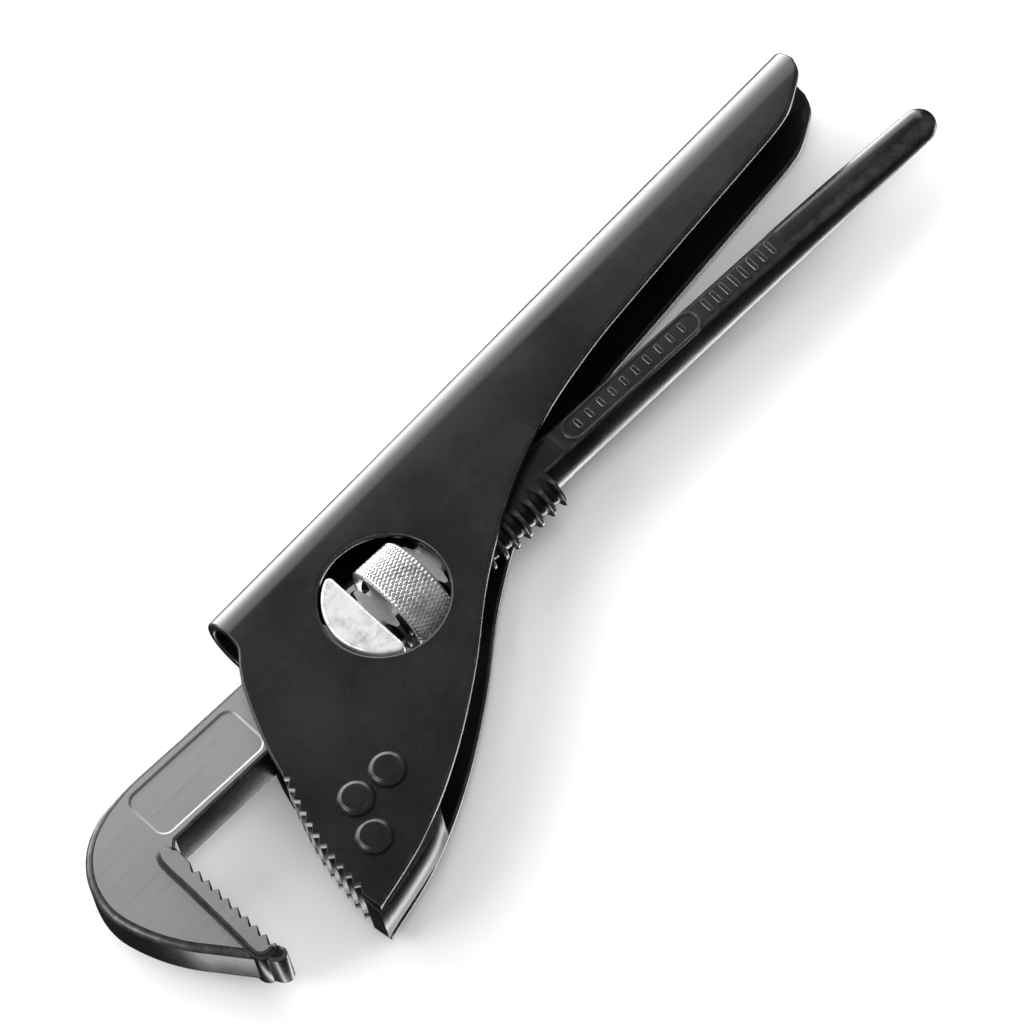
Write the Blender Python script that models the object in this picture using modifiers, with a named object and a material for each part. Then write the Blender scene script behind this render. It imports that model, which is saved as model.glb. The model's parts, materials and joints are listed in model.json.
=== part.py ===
"""Two-handled pipe wrench: a folded steel frame, a riveted jaw, and a threaded hook lever held by a nut.

Lengths are metres. The wrench lies on its side: +X runs along the frame's spine towards the handle end,
+Y points to the spine, and +Z is the axis on which the hook lever swings. The origin is under the middle
of the wrench, on the plane that its lowest point touches. Every outline below is measured from PIVOT.
"""

import math

import bpy
import bmesh
from mathutils import Vector

# The pivot: centre of the round windows, half way through the frame's thickness
PIVOT = Vector((-0.03733, 0.01295, 0.0125))
REST_TILT = math.radians(-3.0)          # the hook lever's lean against the spine at rest
GAP = 0.0003                            # clearance kept between touching pieces

# Frame: one sheet of steel folded round the spine
SHEET = 0.0023
HEAD_WIDTH = 0.0184                     # over both cheeks, round the windows
HANDLE_WIDTH = 0.0216                   # over both sides, at the handle end
FLARE_START_X = 0.030
FLARE_END_X = 0.095
SPINE_Y = 0.0298                        # outermost line of the fold
SPINE_FRONT_X = -0.0308
HANDLE_END_X = 0.1619
WINDOW_RADIUS = 0.0157
FOLD_STEPS = 14
WINDOW_STEPS = 48

LOWER_EDGE = [
    (-0.0582, -0.0553), (-0.0384, -0.0504), (-0.0192, -0.0418), (0.0, -0.0298), (0.0192, -0.0154),
    (0.0384, -0.0043), (0.0576, 0.0029), (0.0768, 0.0066), (0.0960, 0.0084), (0.1440, 0.0121),
]
HANDLE_TIP = [(0.1440, 0.0121), (0.1507, 0.0133), (0.1565, 0.0163), (0.1602, 0.0190), (0.1619, 0.0224)]
FRONT_EDGE = [(-0.0308, 0.0212), (-0.0318, 0.0171), (-0.0352, 0.0132), (-0.0382, 0.0089), (-0.0424, 0.0012),
              (-0.0465, -0.0077), (-0.0488, -0.0144)]
TOOTH_LINE = [(-0.0488, -0.0144), (-0.0526, -0.0232), (-0.0554, -0.0312), (-0.0575, -0.0413),
              (-0.0589, -0.0518)]

# Teeth of both jaws
TOOTH_PITCH = 0.00336
TOOTH_DEPTH = 0.0013
TOOTH_FALL = 0.3                        # share of the pitch that the steep side takes

# Fixed jaw, between the cheeks
JAW_BOTTOM = [(-0.0590, -0.0557), (-0.0386, -0.0512), (-0.0312, -0.0482)]
JAW_BACK = [(-0.0312, -0.0482), (-0.0262, -0.0400), (-0.0262, -0.0292), (-0.0330, -0.0240),
            (-0.0452, -0.0138)]

# Rivets through cheeks and jaw
RIVET_PLACES = {
    "rivet_front": (-0.0420, -0.0318),
    "rivet_rear": (-0.0319, -0.0322),
    "rivet_lower": (-0.0463, -0.0419),
}
RIVET_RADIUS = 0.0031
RIVET_HEAD_RADIUS = 0.0046
RIVET_HEAD_TOP_RADIUS = 0.0038
RIVET_HEAD_HEIGHT = 0.0015
RIVET_STEPS = 20

# Hook lever: hook and shank, thread, lever. Its own outline runs along its own axis.
SHANK_THICK = 0.0124
HOOK_OUTER = [(-0.0774, 0.0095), (-0.0861, 0.0078), (-0.0930, 0.0034), (-0.0977, -0.0034),
              (-0.0995, -0.0120), (-0.0976, -0.0213), (-0.0937, -0.0301), (-0.0879, -0.0387),
              (-0.0818, -0.0478), (-0.0798, -0.0501), (-0.0778, -0.0490)]
HOOK_FACE_X = -0.0774                   # line of the hook's tooth crests
HOOK_FACE_TOP_Y = -0.0125
HOOK_FACE_LEAN = -0.0006                # sideways run of the tooth line from top to bottom
HOOK_TEETH = 9
SHANK_TOP_Y = 0.0095
SHANK_BOTTOM_Y = (-0.0089, -0.0081)     # at the hook, and where the thread starts
SHANK_END_X = -0.0340
HOOK_EDGE_BEVEL = 0.0012
PAD_RAISE = 0.0017
PAD_SLANT = 0.0014
PAD_OUTLINE = [(-0.0770, -0.0118), (-0.0780, -0.0094), (-0.0800, -0.0085), (-0.0820, -0.0095),
               (-0.0829, -0.0125), (-0.0838, -0.0434), (-0.0818, -0.0473), (-0.0770, -0.0475)]
PANEL_LOW = (-0.0770, -0.0072)
PANEL_HIGH = (-0.0438, 0.0070)
PANEL_DEPTH = 0.0004
PANEL_RADIUS = 0.0028

THREAD_PITCH = 0.00385
THREAD_CREST_RADIUS = 0.0094
THREAD_ROOT_RADIUS = 0.0079
THREAD_START_X = -0.0360
THREAD_END_X = 0.0480
THREAD_ROWS_PER_TURN = 5

# Lever sections: x, middle y, width in y, thickness in z, corner radius
LEVER_SECTIONS = [
    (0.0440, 0.0004, 0.0094, 0.0124, 0.0016),
    (0.0600, 0.0004, 0.0088, 0.0124, 0.0018),
    (0.0960, 0.0006, 0.0080, 0.0122, 0.0022),
    (0.1260, 0.0008, 0.0083, 0.0108, 0.0028),
    (0.1440, 0.0009, 0.0085, 0.0096, 0.0032),
    (0.1680, 0.0006, 0.0083, 0.0080, 0.0038),
    (0.1718, 0.0005, 0.0075, 0.0074, 0.0036),
    (0.1740, 0.0005, 0.0054, 0.0054, 0.0026),
    (0.1749, 0.0005, 0.0026, 0.0026, 0.0012),
]
CORNER_STEPS = 3

# Nut and pivot block
NUT_RADIUS = 0.0125
NUT_BORE_RADIUS = THREAD_CREST_RADIUS + GAP
NUT_CHAMFER = 0.0008
NUT_SPAN_X = (-0.0008, 0.0110)
NUT_STEPS = 40
BLOCK_RADIUS = 0.0149
BLOCK_FLAT_X = -0.0052
BLOCK_THICK = HEAD_WIDTH - 0.0004
BLOCK_SLOT_Y = 0.0099
BLOCK_SLOT_Z = SHANK_THICK / 2 + GAP
BLOCK_EDGE = 0.0006

BLACK_STEEL = ((0.012, 0.012, 0.013), 0.32, 0.35)
GROUND_STEEL = ((0.42, 0.42, 0.42), 0.38, 0.9)
BRIGHT_ZINC = ((0.82, 0.83, 0.84), 0.22, 1.0)


def clear_scene():
    """Remove every object, so that the script starts from an empty scene."""
    for item in list(bpy.data.objects):
        bpy.data.objects.remove(item, do_unlink=True)


def make_collection(name):
    """Make a collection under the scene and return it."""
    group = bpy.data.collections.new(name)
    bpy.context.scene.collection.children.link(group)
    return group


def make_material(name, finish):
    """Principled material with a colour, a roughness and a metallic value."""
    colour, roughness, metallic = finish
    material = bpy.data.materials.new(name)
    material.use_nodes = True
    shader = material.node_tree.nodes["Principled BSDF"]
    shader.inputs["Base Color"].default_value = (*colour, 1.0)
    shader.inputs["Roughness"].default_value = roughness
    shader.inputs["Metallic"].default_value = metallic
    return material


def make_empty(name, group, parent=None, turn=0.0, place=(0, 0, 0)):
    """An empty that carries the pieces of one body."""
    empty = bpy.data.objects.new(name, None)
    group.objects.link(empty)
    empty.parent = parent
    empty.location = place
    empty.rotation_euler = (0.0, 0.0, turn)
    return empty


def smooth_run(points, steps):
    """Points on a Catmull-Rom curve through the given points, with a number of steps for each span."""
    padded = [points[0], *points, points[-1]]
    run = []
    for k in range(1, len(padded) - 2):
        before, start, end, after = (Vector(p) for p in padded[k - 1:k + 3])
        for step in range(steps):
            t = step / steps
            place = 0.5 * (2 * start + (end - before) * t
                           + (2 * before - 5 * start + 4 * end - after) * t ** 2
                           + (3 * start - before - 3 * end + after) * t ** 3)
            run.append((place.x, place.y))
    run.append(tuple(points[-1]))
    return run


def saw_points(run, count, pitch, depth, fall, side):
    """Teeth along a run of points: each falls steeply by depth to one side, then rises to the next crest."""
    lengths = [0.0]
    for a, b in zip(run, run[1:]):
        lengths.append(lengths[-1] + (Vector(b) - Vector(a)).length)

    def at(distance):
        for k in range(1, len(lengths)):
            if distance <= lengths[k] or k == len(lengths) - 1:
                share = (distance - lengths[k - 1]) / (lengths[k] - lengths[k - 1])
                a, b = Vector(run[k - 1]), Vector(run[k])
                return a.lerp(b, share), (b - a).normalized()

    points = []
    for tooth in range(count):
        crest, _ = at(tooth * pitch)
        root, along = at((tooth + fall) * pitch)
        inward = Vector((-along.y, along.x)) * side
        points.append(tuple(crest))
        points.append(tuple(root + inward * depth))
    points.append(tuple(at(count * pitch)[0]))
    return points


def mesh_object(name, bm, group):
    """Turn a bmesh into an object with its faces pointing out."""
    bmesh.ops.recalc_face_normals(bm, faces=bm.faces)
    mesh = bpy.data.meshes.new(name)
    bm.to_mesh(mesh)
    bm.free()
    item = bpy.data.objects.new(name, mesh)
    group.objects.link(item)
    return item


def outline_solid(name, points, thickness, group, middle_z=0.0):
    """A flat outline made solid: a filled 2D curve, extruded evenly to both sides of middle_z."""
    curve = bpy.data.curves.new(name + "_outline", "CURVE")
    curve.dimensions = "2D"
    curve.fill_mode = "BOTH"
    curve.extrude = thickness / 2
    spline = curve.splines.new("POLY")
    spline.points.add(len(points) - 1)
    for point, (x, y) in zip(spline.points, points):
        point.co = (x, y, 0.0, 1.0)
    spline.use_cyclic_u = True
    flat = bpy.data.objects.new(name + "_outline", curve)
    group.objects.link(flat)
    bpy.context.view_layer.update()
    shape = flat.evaluated_get(bpy.context.evaluated_depsgraph_get())
    bm = bmesh.new()
    bm.from_mesh(shape.to_mesh())
    shape.to_mesh_clear()
    bpy.data.objects.remove(flat, do_unlink=True)
    bmesh.ops.remove_doubles(bm, verts=bm.verts, dist=1e-6)
    bmesh.ops.dissolve_limit(bm, angle_limit=math.radians(0.5), verts=bm.verts, edges=bm.edges)
    bmesh.ops.translate(bm, verts=bm.verts, vec=(0.0, 0.0, middle_z))
    return mesh_object(name, bm, group)


def loft(name, sections, group):
    """A closed solid through sections with the same number of points, with a flat cap at each end."""
    bm = bmesh.new()
    rings = [[bm.verts.new(point) for point in section] for section in sections]
    for low, high in zip(rings, rings[1:]):
        for k in range(len(low)):
            nxt = (k + 1) % len(low)
            bm.faces.new((low[k], low[nxt], high[nxt], high[k]))
    bm.faces.new(list(reversed(rings[0])))
    bm.faces.new(rings[-1])
    return mesh_object(name, bm, group)


def cylinder(name, radius, length, steps, group, place=(0, 0, 0)):
    """A cylinder on the Z axis."""
    bm = bmesh.new()
    bmesh.ops.create_cone(bm, cap_ends=True, segments=steps, radius1=radius, radius2=radius, depth=length)
    bmesh.ops.translate(bm, verts=bm.verts, vec=place)
    return mesh_object(name, bm, group)


def box(name, low, high, group):
    """A box between two corners."""
    bm = bmesh.new()
    bmesh.ops.create_cube(bm, size=1.0)
    size = Vector(high) - Vector(low)
    bmesh.ops.scale(bm, vec=size, verts=bm.verts)
    bmesh.ops.translate(bm, verts=bm.verts, vec=(Vector(high) + Vector(low)) / 2)
    return mesh_object(name, bm, group)


def apply_modifier(item, modifier):
    """Keep a modifier's result as the object's mesh."""
    shape = item.evaluated_get(bpy.context.evaluated_depsgraph_get())
    mesh = bpy.data.meshes.new_from_object(shape)
    old = item.data
    item.modifiers.remove(modifier)
    item.data = mesh
    bpy.data.meshes.remove(old)


def combine(item, other, operation):
    """Join, cut or intersect an object with another, and keep the result."""
    modifier = item.modifiers.new(operation.lower(), "BOOLEAN")
    modifier.operation = operation
    modifier.solver = "EXACT"
    modifier.object = other
    bpy.context.view_layer.update()
    apply_modifier(item, modifier)
    other.hide_render = True
    other.display_type = "WIRE"


def bevel(item, width, angle=30.0, segments=1):
    """Chamfer the edges that are sharper than an angle."""
    modifier = item.modifiers.new("bevel", "BEVEL")
    modifier.width = width
    modifier.segments = segments
    modifier.limit_method = "ANGLE"
    modifier.angle_limit = math.radians(angle)
    bpy.context.view_layer.update()
    apply_modifier(item, modifier)


def finish_piece(item, group, parent, material, place=(0, 0, 0)):
    """Put a piece in the wrench's collection, on its parent, with its material and smooth round faces."""
    for owner in list(item.users_collection):
        owner.objects.unlink(item)
    group.objects.link(item)
    item.parent = parent
    item.location = place
    item.data.materials.clear()
    item.data.materials.append(material)
    item.data.shade_smooth()
    item.data.set_sharp_from_angle(angle=math.radians(32))


def toothed_front():
    """The cutting edge of the frame and fixed jaw, from its first crest down to the tip."""
    run = smooth_run(TOOTH_LINE, 4)
    return saw_points(run, 11, TOOTH_PITCH, TOOTH_DEPTH, TOOTH_FALL, 1)


def channel_section(x):
    """One U section of the folded sheet: outside, then back along the inside."""
    share = min(max((x - FLARE_START_X) / (FLARE_END_X - FLARE_START_X), 0.0), 1.0)
    outer = (HEAD_WIDTH + (HANDLE_WIDTH - HEAD_WIDTH) * share) / 2
    fold_y = SPINE_Y - outer
    foot_y = -0.070
    section = []
    for radius, turn in ((outer, 1), (outer - SHEET, -1)):
        leg = [(foot_y, turn * radius)]
        for step in range(FOLD_STEPS + 1):
            angle = math.pi * step / FOLD_STEPS
            leg.append((fold_y + radius * math.sin(angle), turn * radius * math.cos(angle)))
        leg.append((foot_y, -turn * radius))
        section.extend((x, y, z) for y, z in leg)
    return section


def frame_outline():
    """Side outline of the folded sheet, with the fold left open at the top for the U section to close."""
    beyond_spine = SPINE_Y + 0.005
    points = toothed_front()
    points += smooth_run(LOWER_EDGE, 3)
    points += smooth_run(HANDLE_TIP, 3)[1:]
    points += [(HANDLE_END_X, beyond_spine), (SPINE_FRONT_X, beyond_spine)]
    points += smooth_run(FRONT_EDGE, 3)[:-1]
    return points


def turned(name, profile, steps, group, closed=False):
    """A profile of radii and heights, listed down its outer side, turned about the Z axis."""
    edges = [(k, k + 1) for k in range(len(profile) - 1)]
    if closed:
        edges.append((len(profile) - 1, 0))
    mesh = bpy.data.meshes.new(name)
    mesh.from_pydata([(radius, 0.0, height) for radius, height in profile], edges, [])
    item = bpy.data.objects.new(name, mesh)
    group.objects.link(item)
    modifier = item.modifiers.new("turn", "SCREW")
    modifier.axis = "Z"
    modifier.angle = 2 * math.pi
    modifier.steps = steps
    modifier.render_steps = steps
    modifier.use_merge_vertices = True
    modifier.merge_threshold = 0.00001
    bpy.context.view_layer.update()
    apply_modifier(item, modifier)
    return item


def build_frame(parts, cutters, parent, material):
    """The folded sheet with its outline, two round windows and six rivet holes."""
    stations = (-0.075, FLARE_START_X, FLARE_END_X, 0.175)
    frame = loft("frame_shell", [channel_section(x) for x in stations], cutters)
    outline = outline_solid("frame_blank", frame_outline(), 0.030, cutters)
    combine(frame, outline, "INTERSECT")
    window = cylinder("window_cutter", WINDOW_RADIUS, 0.040, WINDOW_STEPS, cutters)
    combine(frame, window, "DIFFERENCE")
    for name, (x, y) in RIVET_PLACES.items():
        hole = cylinder(name + "_frame_hole", RIVET_RADIUS + GAP, 0.040, RIVET_STEPS, cutters, (x, y, 0))
        combine(frame, hole, "DIFFERENCE")
    finish_piece(frame, parts, parent, material)


def build_fixed_jaw(parts, cutters, parent, material):
    """The toothed jaw block that the three rivets hold between the cheeks."""
    thickness = HEAD_WIDTH - 2 * SHEET - 2 * GAP
    points = toothed_front() + smooth_run(JAW_BOTTOM, 3) + JAW_BACK[1:]
    jaw = outline_solid("fixed_jaw", points, thickness, cutters)
    for name, (x, y) in RIVET_PLACES.items():
        hole = cylinder(name + "_jaw_hole", RIVET_RADIUS + GAP, 0.040, RIVET_STEPS, cutters, (x, y, 0))
        combine(jaw, hole, "DIFFERENCE")
    finish_piece(jaw, parts, parent, material)


def build_rivets(parts, cutters, parent, material):
    """Three rivets, each a turned pin with a flat-topped head at both ends."""
    seat = HEAD_WIDTH / 2 + GAP
    top = seat + RIVET_HEAD_HEIGHT
    head_side = seat + RIVET_HEAD_HEIGHT * 0.45
    upper = [(0.0, top), (RIVET_HEAD_TOP_RADIUS, top), (RIVET_HEAD_RADIUS, head_side),
             (RIVET_HEAD_RADIUS, seat), (RIVET_RADIUS, seat)]
    profile = upper + [(r, -z) for r, z in reversed(upper)]
    for name, (x, y) in RIVET_PLACES.items():
        rivet = turned(name, profile, RIVET_STEPS, cutters)
        finish_piece(rivet, parts, parent, material, (x, y, 0.0))


def build_pivot_block(parts, cutters, parent, material):
    """The half-round block that rocks in both windows, slotted for the shank."""
    start = math.acos(BLOCK_FLAT_X / BLOCK_RADIUS)
    steps = 24
    points = []
    for step in range(steps + 1):
        angle = start + (2 * math.pi - 2 * start) * step / steps
        points.append((BLOCK_RADIUS * math.cos(angle), BLOCK_RADIUS * math.sin(angle)))
    block = outline_solid("pivot_block", points, BLOCK_THICK, cutters)
    bevel(block, BLOCK_EDGE, 40.0)
    slot = box("slot_cutter", (-0.020, -BLOCK_SLOT_Y, -BLOCK_SLOT_Z), (0.0, BLOCK_SLOT_Y, BLOCK_SLOT_Z), cutters)
    combine(block, slot, "DIFFERENCE")
    finish_piece(block, parts, parent, material)


def build_nut(parts, cutters, parent, material):
    """The nut: a ring turned about the shank's axis, with chamfered rims."""
    start, end = NUT_SPAN_X
    half = (end - start) / 2
    rim = NUT_RADIUS - NUT_CHAMFER
    profile = [(NUT_BORE_RADIUS, half), (rim, half), (NUT_RADIUS, half - NUT_CHAMFER),
               (NUT_RADIUS, NUT_CHAMFER - half), (rim, -half), (NUT_BORE_RADIUS, -half)]
    nut = turned("adjusting_nut", profile, NUT_STEPS, cutters, closed=True)
    finish_piece(nut, parts, parent, material, ((start + end) / 2, 0.0, 0.0))
    nut.rotation_euler = (0.0, math.pi / 2, 0.0)


def thread_section(x):
    """One section of the flat-sided screw: two round sides that follow the helix, joined by the flats."""
    half = SHANK_THICK / 2
    corner = math.asin(half / THREAD_CREST_RADIUS)
    section = []
    for side in (0.0, math.pi):
        for step in range(-2, 3):
            angle = side + corner * step / 2
            turn = x / THREAD_PITCH - angle / (2 * math.pi)
            wave = 0.5 + 0.5 * math.cos(2 * math.pi * turn)
            radius = THREAD_ROOT_RADIUS + (THREAD_CREST_RADIUS - THREAD_ROOT_RADIUS) * wave
            height = radius * math.sin(angle)
            width = radius * math.cos(angle)
            if abs(step) == 2:
                height = math.copysign(half, height)
                width = math.copysign(math.sqrt(radius ** 2 - half ** 2), width)
            section.append((x, width, height))
    return section


def lever_section(x, middle, width, thick, radius):
    """A rounded rectangle across the lever."""
    section = []
    corners = ((1, 1, 0.0), (-1, 1, 0.5 * math.pi), (-1, -1, math.pi), (1, -1, 1.5 * math.pi))
    for side_y, side_z, start in corners:
        for step in range(CORNER_STEPS + 1):
            angle = start + 0.5 * math.pi * step / CORNER_STEPS
            y = middle + side_y * (width / 2 - radius) + radius * math.cos(angle)
            z = side_z * (thick / 2 - radius) + radius * math.sin(angle)
            section.append((x, y, z))
    return section


def rounded_box_outline(low, high, radius, steps=4):
    """Outline of a rectangle with round corners."""
    points = []
    for sx, sy, start in ((1, 1, 0.0), (0, 1, 0.5), (0, 0, 1.0), (1, 0, 1.5)):
        centre_x = high[0] - radius if sx else low[0] + radius
        centre_y = high[1] - radius if sy else low[1] + radius
        for step in range(steps + 1):
            angle = math.pi * (start + 0.5 * step / steps)
            points.append((centre_x + radius * math.cos(angle), centre_y + radius * math.sin(angle)))
    return points


def hook_outline():
    """Side outline of the hook and shank, without teeth."""
    points = smooth_run(HOOK_OUTER, 2)
    points += [(HOOK_FACE_X + HOOK_FACE_LEAN, -0.0472), (HOOK_FACE_X, HOOK_FACE_TOP_Y),
               (HOOK_FACE_X + 0.0006, SHANK_BOTTOM_Y[0] - 0.0012), (HOOK_FACE_X + 0.0020, SHANK_BOTTOM_Y[0])]
    points += [(SHANK_END_X, SHANK_BOTTOM_Y[1]), (SHANK_END_X, SHANK_TOP_Y)]
    return points


def build_hook_lever(parts, cutters, parent, material):
    """The forged hook, its flat-sided screw and the lever, in one piece."""
    hook = outline_solid("hook_lever", hook_outline(), SHANK_THICK, cutters)
    bevel(hook, HOOK_EDGE_BEVEL, 50.0)
    pad = outline_solid("tooth_pad", PAD_OUTLINE, SHANK_THICK + 2 * PAD_RAISE, cutters)
    bevel(pad, PAD_SLANT, 50.0)
    combine(hook, pad, "UNION")
    for side in (1, -1):
        panel = outline_solid("panel_cutter", rounded_box_outline(PANEL_LOW, PANEL_HIGH, PANEL_RADIUS),
                              2 * PANEL_DEPTH, cutters, side * SHANK_THICK / 2)
        combine(hook, panel, "DIFFERENCE")
    face_low = HOOK_FACE_TOP_Y - HOOK_TEETH * TOOTH_PITCH - 0.004
    face = [(HOOK_FACE_X + HOOK_FACE_LEAN, face_low), (HOOK_FACE_X, HOOK_FACE_TOP_Y)]
    teeth = saw_points(face, HOOK_TEETH, TOOTH_PITCH, TOOTH_DEPTH, TOOTH_FALL, 1)
    beyond = HOOK_FACE_X + 0.004
    cut = teeth + [(beyond, teeth[-1][1]), (beyond, teeth[0][1])]
    saw = outline_solid("hook_saw", cut, 0.030, cutters)
    combine(hook, saw, "DIFFERENCE")
    rows = round((THREAD_END_X - THREAD_START_X) / THREAD_PITCH * THREAD_ROWS_PER_TURN)
    stations = [THREAD_START_X + (THREAD_END_X - THREAD_START_X) * k / rows for k in range(rows + 1)]
    screw = loft("screw", [thread_section(x) for x in stations], cutters)
    combine(hook, screw, "UNION")
    lever = loft("lever", [lever_section(*numbers) for numbers in LEVER_SECTIONS], cutters)
    combine(hook, lever, "UNION")
    finish_piece(hook, parts, parent, material)


def main():
    """Build the wrench."""
    clear_scene()
    parts = make_collection("pipe_wrench")
    cutters = make_collection("cutters")
    black = make_material("black_steel", BLACK_STEEL)
    ground = make_material("ground_steel", GROUND_STEEL)
    zinc = make_material("bright_zinc", BRIGHT_ZINC)
    frame_body = make_empty("frame_body", parts, place=PIVOT)
    swing_body = make_empty("swing_body", parts, frame_body, REST_TILT)
    build_frame(parts, cutters, frame_body, black)
    build_fixed_jaw(parts, cutters, frame_body, black)
    build_rivets(parts, cutters, frame_body, black)
    build_pivot_block(parts, cutters, swing_body, zinc)
    build_nut(parts, cutters, swing_body, zinc)
    build_hook_lever(parts, cutters, swing_body, ground)


main()
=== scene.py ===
"""Looks for a pipe wrench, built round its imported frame.

The wrench is a folded sheet-steel handle with two cheeks, a riveted toothed jaw, and a threaded hook lever
held by a knurled nut and a rocking block in two round windows.

Sizes below are millimetres from the pivot, which is the middle of the windows. The frame's own pieces use
the frame's axes; the block, the nut and the hook lever use the lever's axes, which lean by the rest tilt.
"""

from __future__ import annotations

import json
import logging
import math
from collections.abc import Callable, Sequence
from dataclasses import dataclass
from enum import Enum

import bmesh
import bpy
import numpy as np
from mathutils import Matrix, Vector
from mathutils.geometry import delaunay_2d_cdt


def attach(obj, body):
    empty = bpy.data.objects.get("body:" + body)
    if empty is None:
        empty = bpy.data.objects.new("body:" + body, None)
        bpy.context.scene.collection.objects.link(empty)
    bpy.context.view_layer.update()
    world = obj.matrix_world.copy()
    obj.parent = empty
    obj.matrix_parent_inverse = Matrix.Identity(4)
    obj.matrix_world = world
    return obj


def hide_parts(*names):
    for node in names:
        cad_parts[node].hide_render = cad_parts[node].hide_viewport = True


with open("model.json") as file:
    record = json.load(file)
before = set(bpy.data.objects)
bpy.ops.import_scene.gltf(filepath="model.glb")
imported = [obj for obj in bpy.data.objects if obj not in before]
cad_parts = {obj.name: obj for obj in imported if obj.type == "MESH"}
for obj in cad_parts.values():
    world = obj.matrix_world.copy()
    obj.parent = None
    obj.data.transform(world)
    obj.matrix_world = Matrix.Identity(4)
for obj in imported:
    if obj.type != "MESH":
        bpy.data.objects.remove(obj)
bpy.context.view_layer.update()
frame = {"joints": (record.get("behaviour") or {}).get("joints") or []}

LOG = logging.getLogger("pipe_wrench")
MM = 0.001                      # metres in a millimetre
MERGE = 1e-6                    # metres within which points are one point
SUPPORT = 0.15                  # width of the flat row next to every rim
SHARP = 36.0                    # degrees of turn beyond which an edge stays sharp
NET_GAP = 1e-6                  # millimetres within which points of a net are one point
LINE_GAP = 0.02                 # millimetres within which neighbours on an outline are one point
LEAST_TURN = 0.35               # least divisor of an outline's steps inward, which limits them at sharp turns
STEP_ROWS = (-1.8, -1.0, -0.6, -0.2, 0.2, 0.6, 1.0, 1.8)  # rows across a recess's step, in lips
FULL_TURN = 2 * math.pi
QUARTER = math.pi / 2

Points = Sequence[tuple[float, float]]
Shaper = Callable[[np.ndarray, np.ndarray], np.ndarray]


# --------------------------------------------------------------------------------------------------------
# Lines and grids
# --------------------------------------------------------------------------------------------------------


def smooth_run(points: Points, steps: int) -> np.ndarray:
    """Points on a Catmull-Rom curve: a cubic in each span, whose slope at a point joins its two neighbours.

    Args:
        points: The points that the curve goes through.
        steps: How many points each span gets.

    Returns:
        An array of points, first and last included.
    """
    way = np.array(points, float)
    padded = np.vstack((way[:1], way, way[-1:]))
    t = (np.arange(steps) / steps)[None, :, None]
    before, start, end, after = (padded[k:len(padded) - 3 + k, None, :] for k in range(4))
    run = 0.5 * (
        2 * start
        + (end - before) * t
        + (2 * before - 5 * start + 4 * end - after) * t**2
        + (3 * start - before - 3 * end + after) * t**3
    )
    return np.vstack((run.reshape(-1, 2), way[-1:]))


def straight_run(points: Points, spacing: float) -> np.ndarray:
    """Points along straight lines, evenly spaced by distance.

    Args:
        points: The corners of the run.
        spacing: About how far apart the points are.

    Returns:
        An array of points, first and last included.
    """
    way = np.array(points, float)
    length = np.concatenate(([0.0], np.cumsum(np.linalg.norm(np.diff(way, axis=0), axis=1))))
    even = np.linspace(0.0, length[-1], max(2, round(length[-1] / spacing) + 1))
    places = np.unique(np.concatenate((even, length)))
    return np.stack([np.interp(places, length, way[:, k]) for k in (0, 1)], axis=1)


def walk(run: np.ndarray, distances: np.ndarray) -> tuple[np.ndarray, np.ndarray]:
    """Where a walk along a run has got to, and which way it is heading.

    Args:
        run: Points of the run.
        distances: Distances walked.

    Returns:
        The points, and the unit directions there.
    """
    steps = np.diff(run, axis=0)
    length = np.linalg.norm(steps, axis=1)
    total = np.concatenate(([0.0], np.cumsum(length)))
    place = np.stack([np.interp(distances, total, run[:, k]) for k in (0, 1)], axis=1)
    index = np.clip(np.searchsorted(total, distances, side="right") - 1, 0, len(steps) - 1)
    return place, steps[index] / length[index, None]


def ring_angles(steps: int) -> np.ndarray:
    """Angles of even steps round a circle."""
    return np.arange(steps) * FULL_TURN / steps


def arc(centre: tuple[float, float], radius: float, angles: np.ndarray) -> np.ndarray:
    """Points at some angles on a circle: the centre plus the radius times the cosine and sine."""
    return np.array(centre) + radius * np.stack((np.cos(angles), np.sin(angles)), axis=1)


def round_box(low: tuple[float, float], high: tuple[float, float], radius: float,
              steps: int = 8) -> np.ndarray:
    """Outline of a rectangle whose corners are quarter circles.

    Args:
        low: Lowest corner.
        high: Highest corner.
        radius: Corner radius.
        steps: Spans in each corner.

    Returns:
        Points, counter-clockwise.
    """
    angle = QUARTER * (np.arange(4)[:, None] + np.linspace(0.0, 1.0, steps + 1)[None, :])
    ends = np.array([low, high], float)
    centre_x = ends[[1, 0, 0, 1], 0] + radius * np.array([-1, 1, 1, -1])
    centre_y = ends[[1, 1, 0, 0], 1] + radius * np.array([-1, -1, 1, 1])
    x = centre_x[:, None] + radius * np.cos(angle)
    y = centre_y[:, None] + radius * np.sin(angle)
    return np.stack((x.ravel(), y.ravel()), axis=1)


def grid_faces(rows: int, columns: int, closed: bool) -> np.ndarray:
    """Four-sided faces between neighbouring rows and columns of a grid.

    Args:
        rows: Number of rows.
        columns: Number of columns.
        closed: Whether the last column joins the first.

    Returns:
        Indices into the grid's points in row order, one row of four for each face.
    """
    row = np.arange(rows - 1)[:, None]
    column = np.arange(columns if closed else columns - 1)[None, :]
    beside = (column + 1) % columns
    corners = (row * columns + column, row * columns + beside, (row + 1) * columns + beside,
               (row + 1) * columns + column)
    return np.stack(corners, axis=-1).reshape(-1, 4)


def ease(value: np.ndarray) -> np.ndarray:
    """Smooth step from 0 to 1: three times the square less twice the cube."""
    t = np.clip(value, 0.0, 1.0)
    return t * t * (3 - 2 * t)


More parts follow.
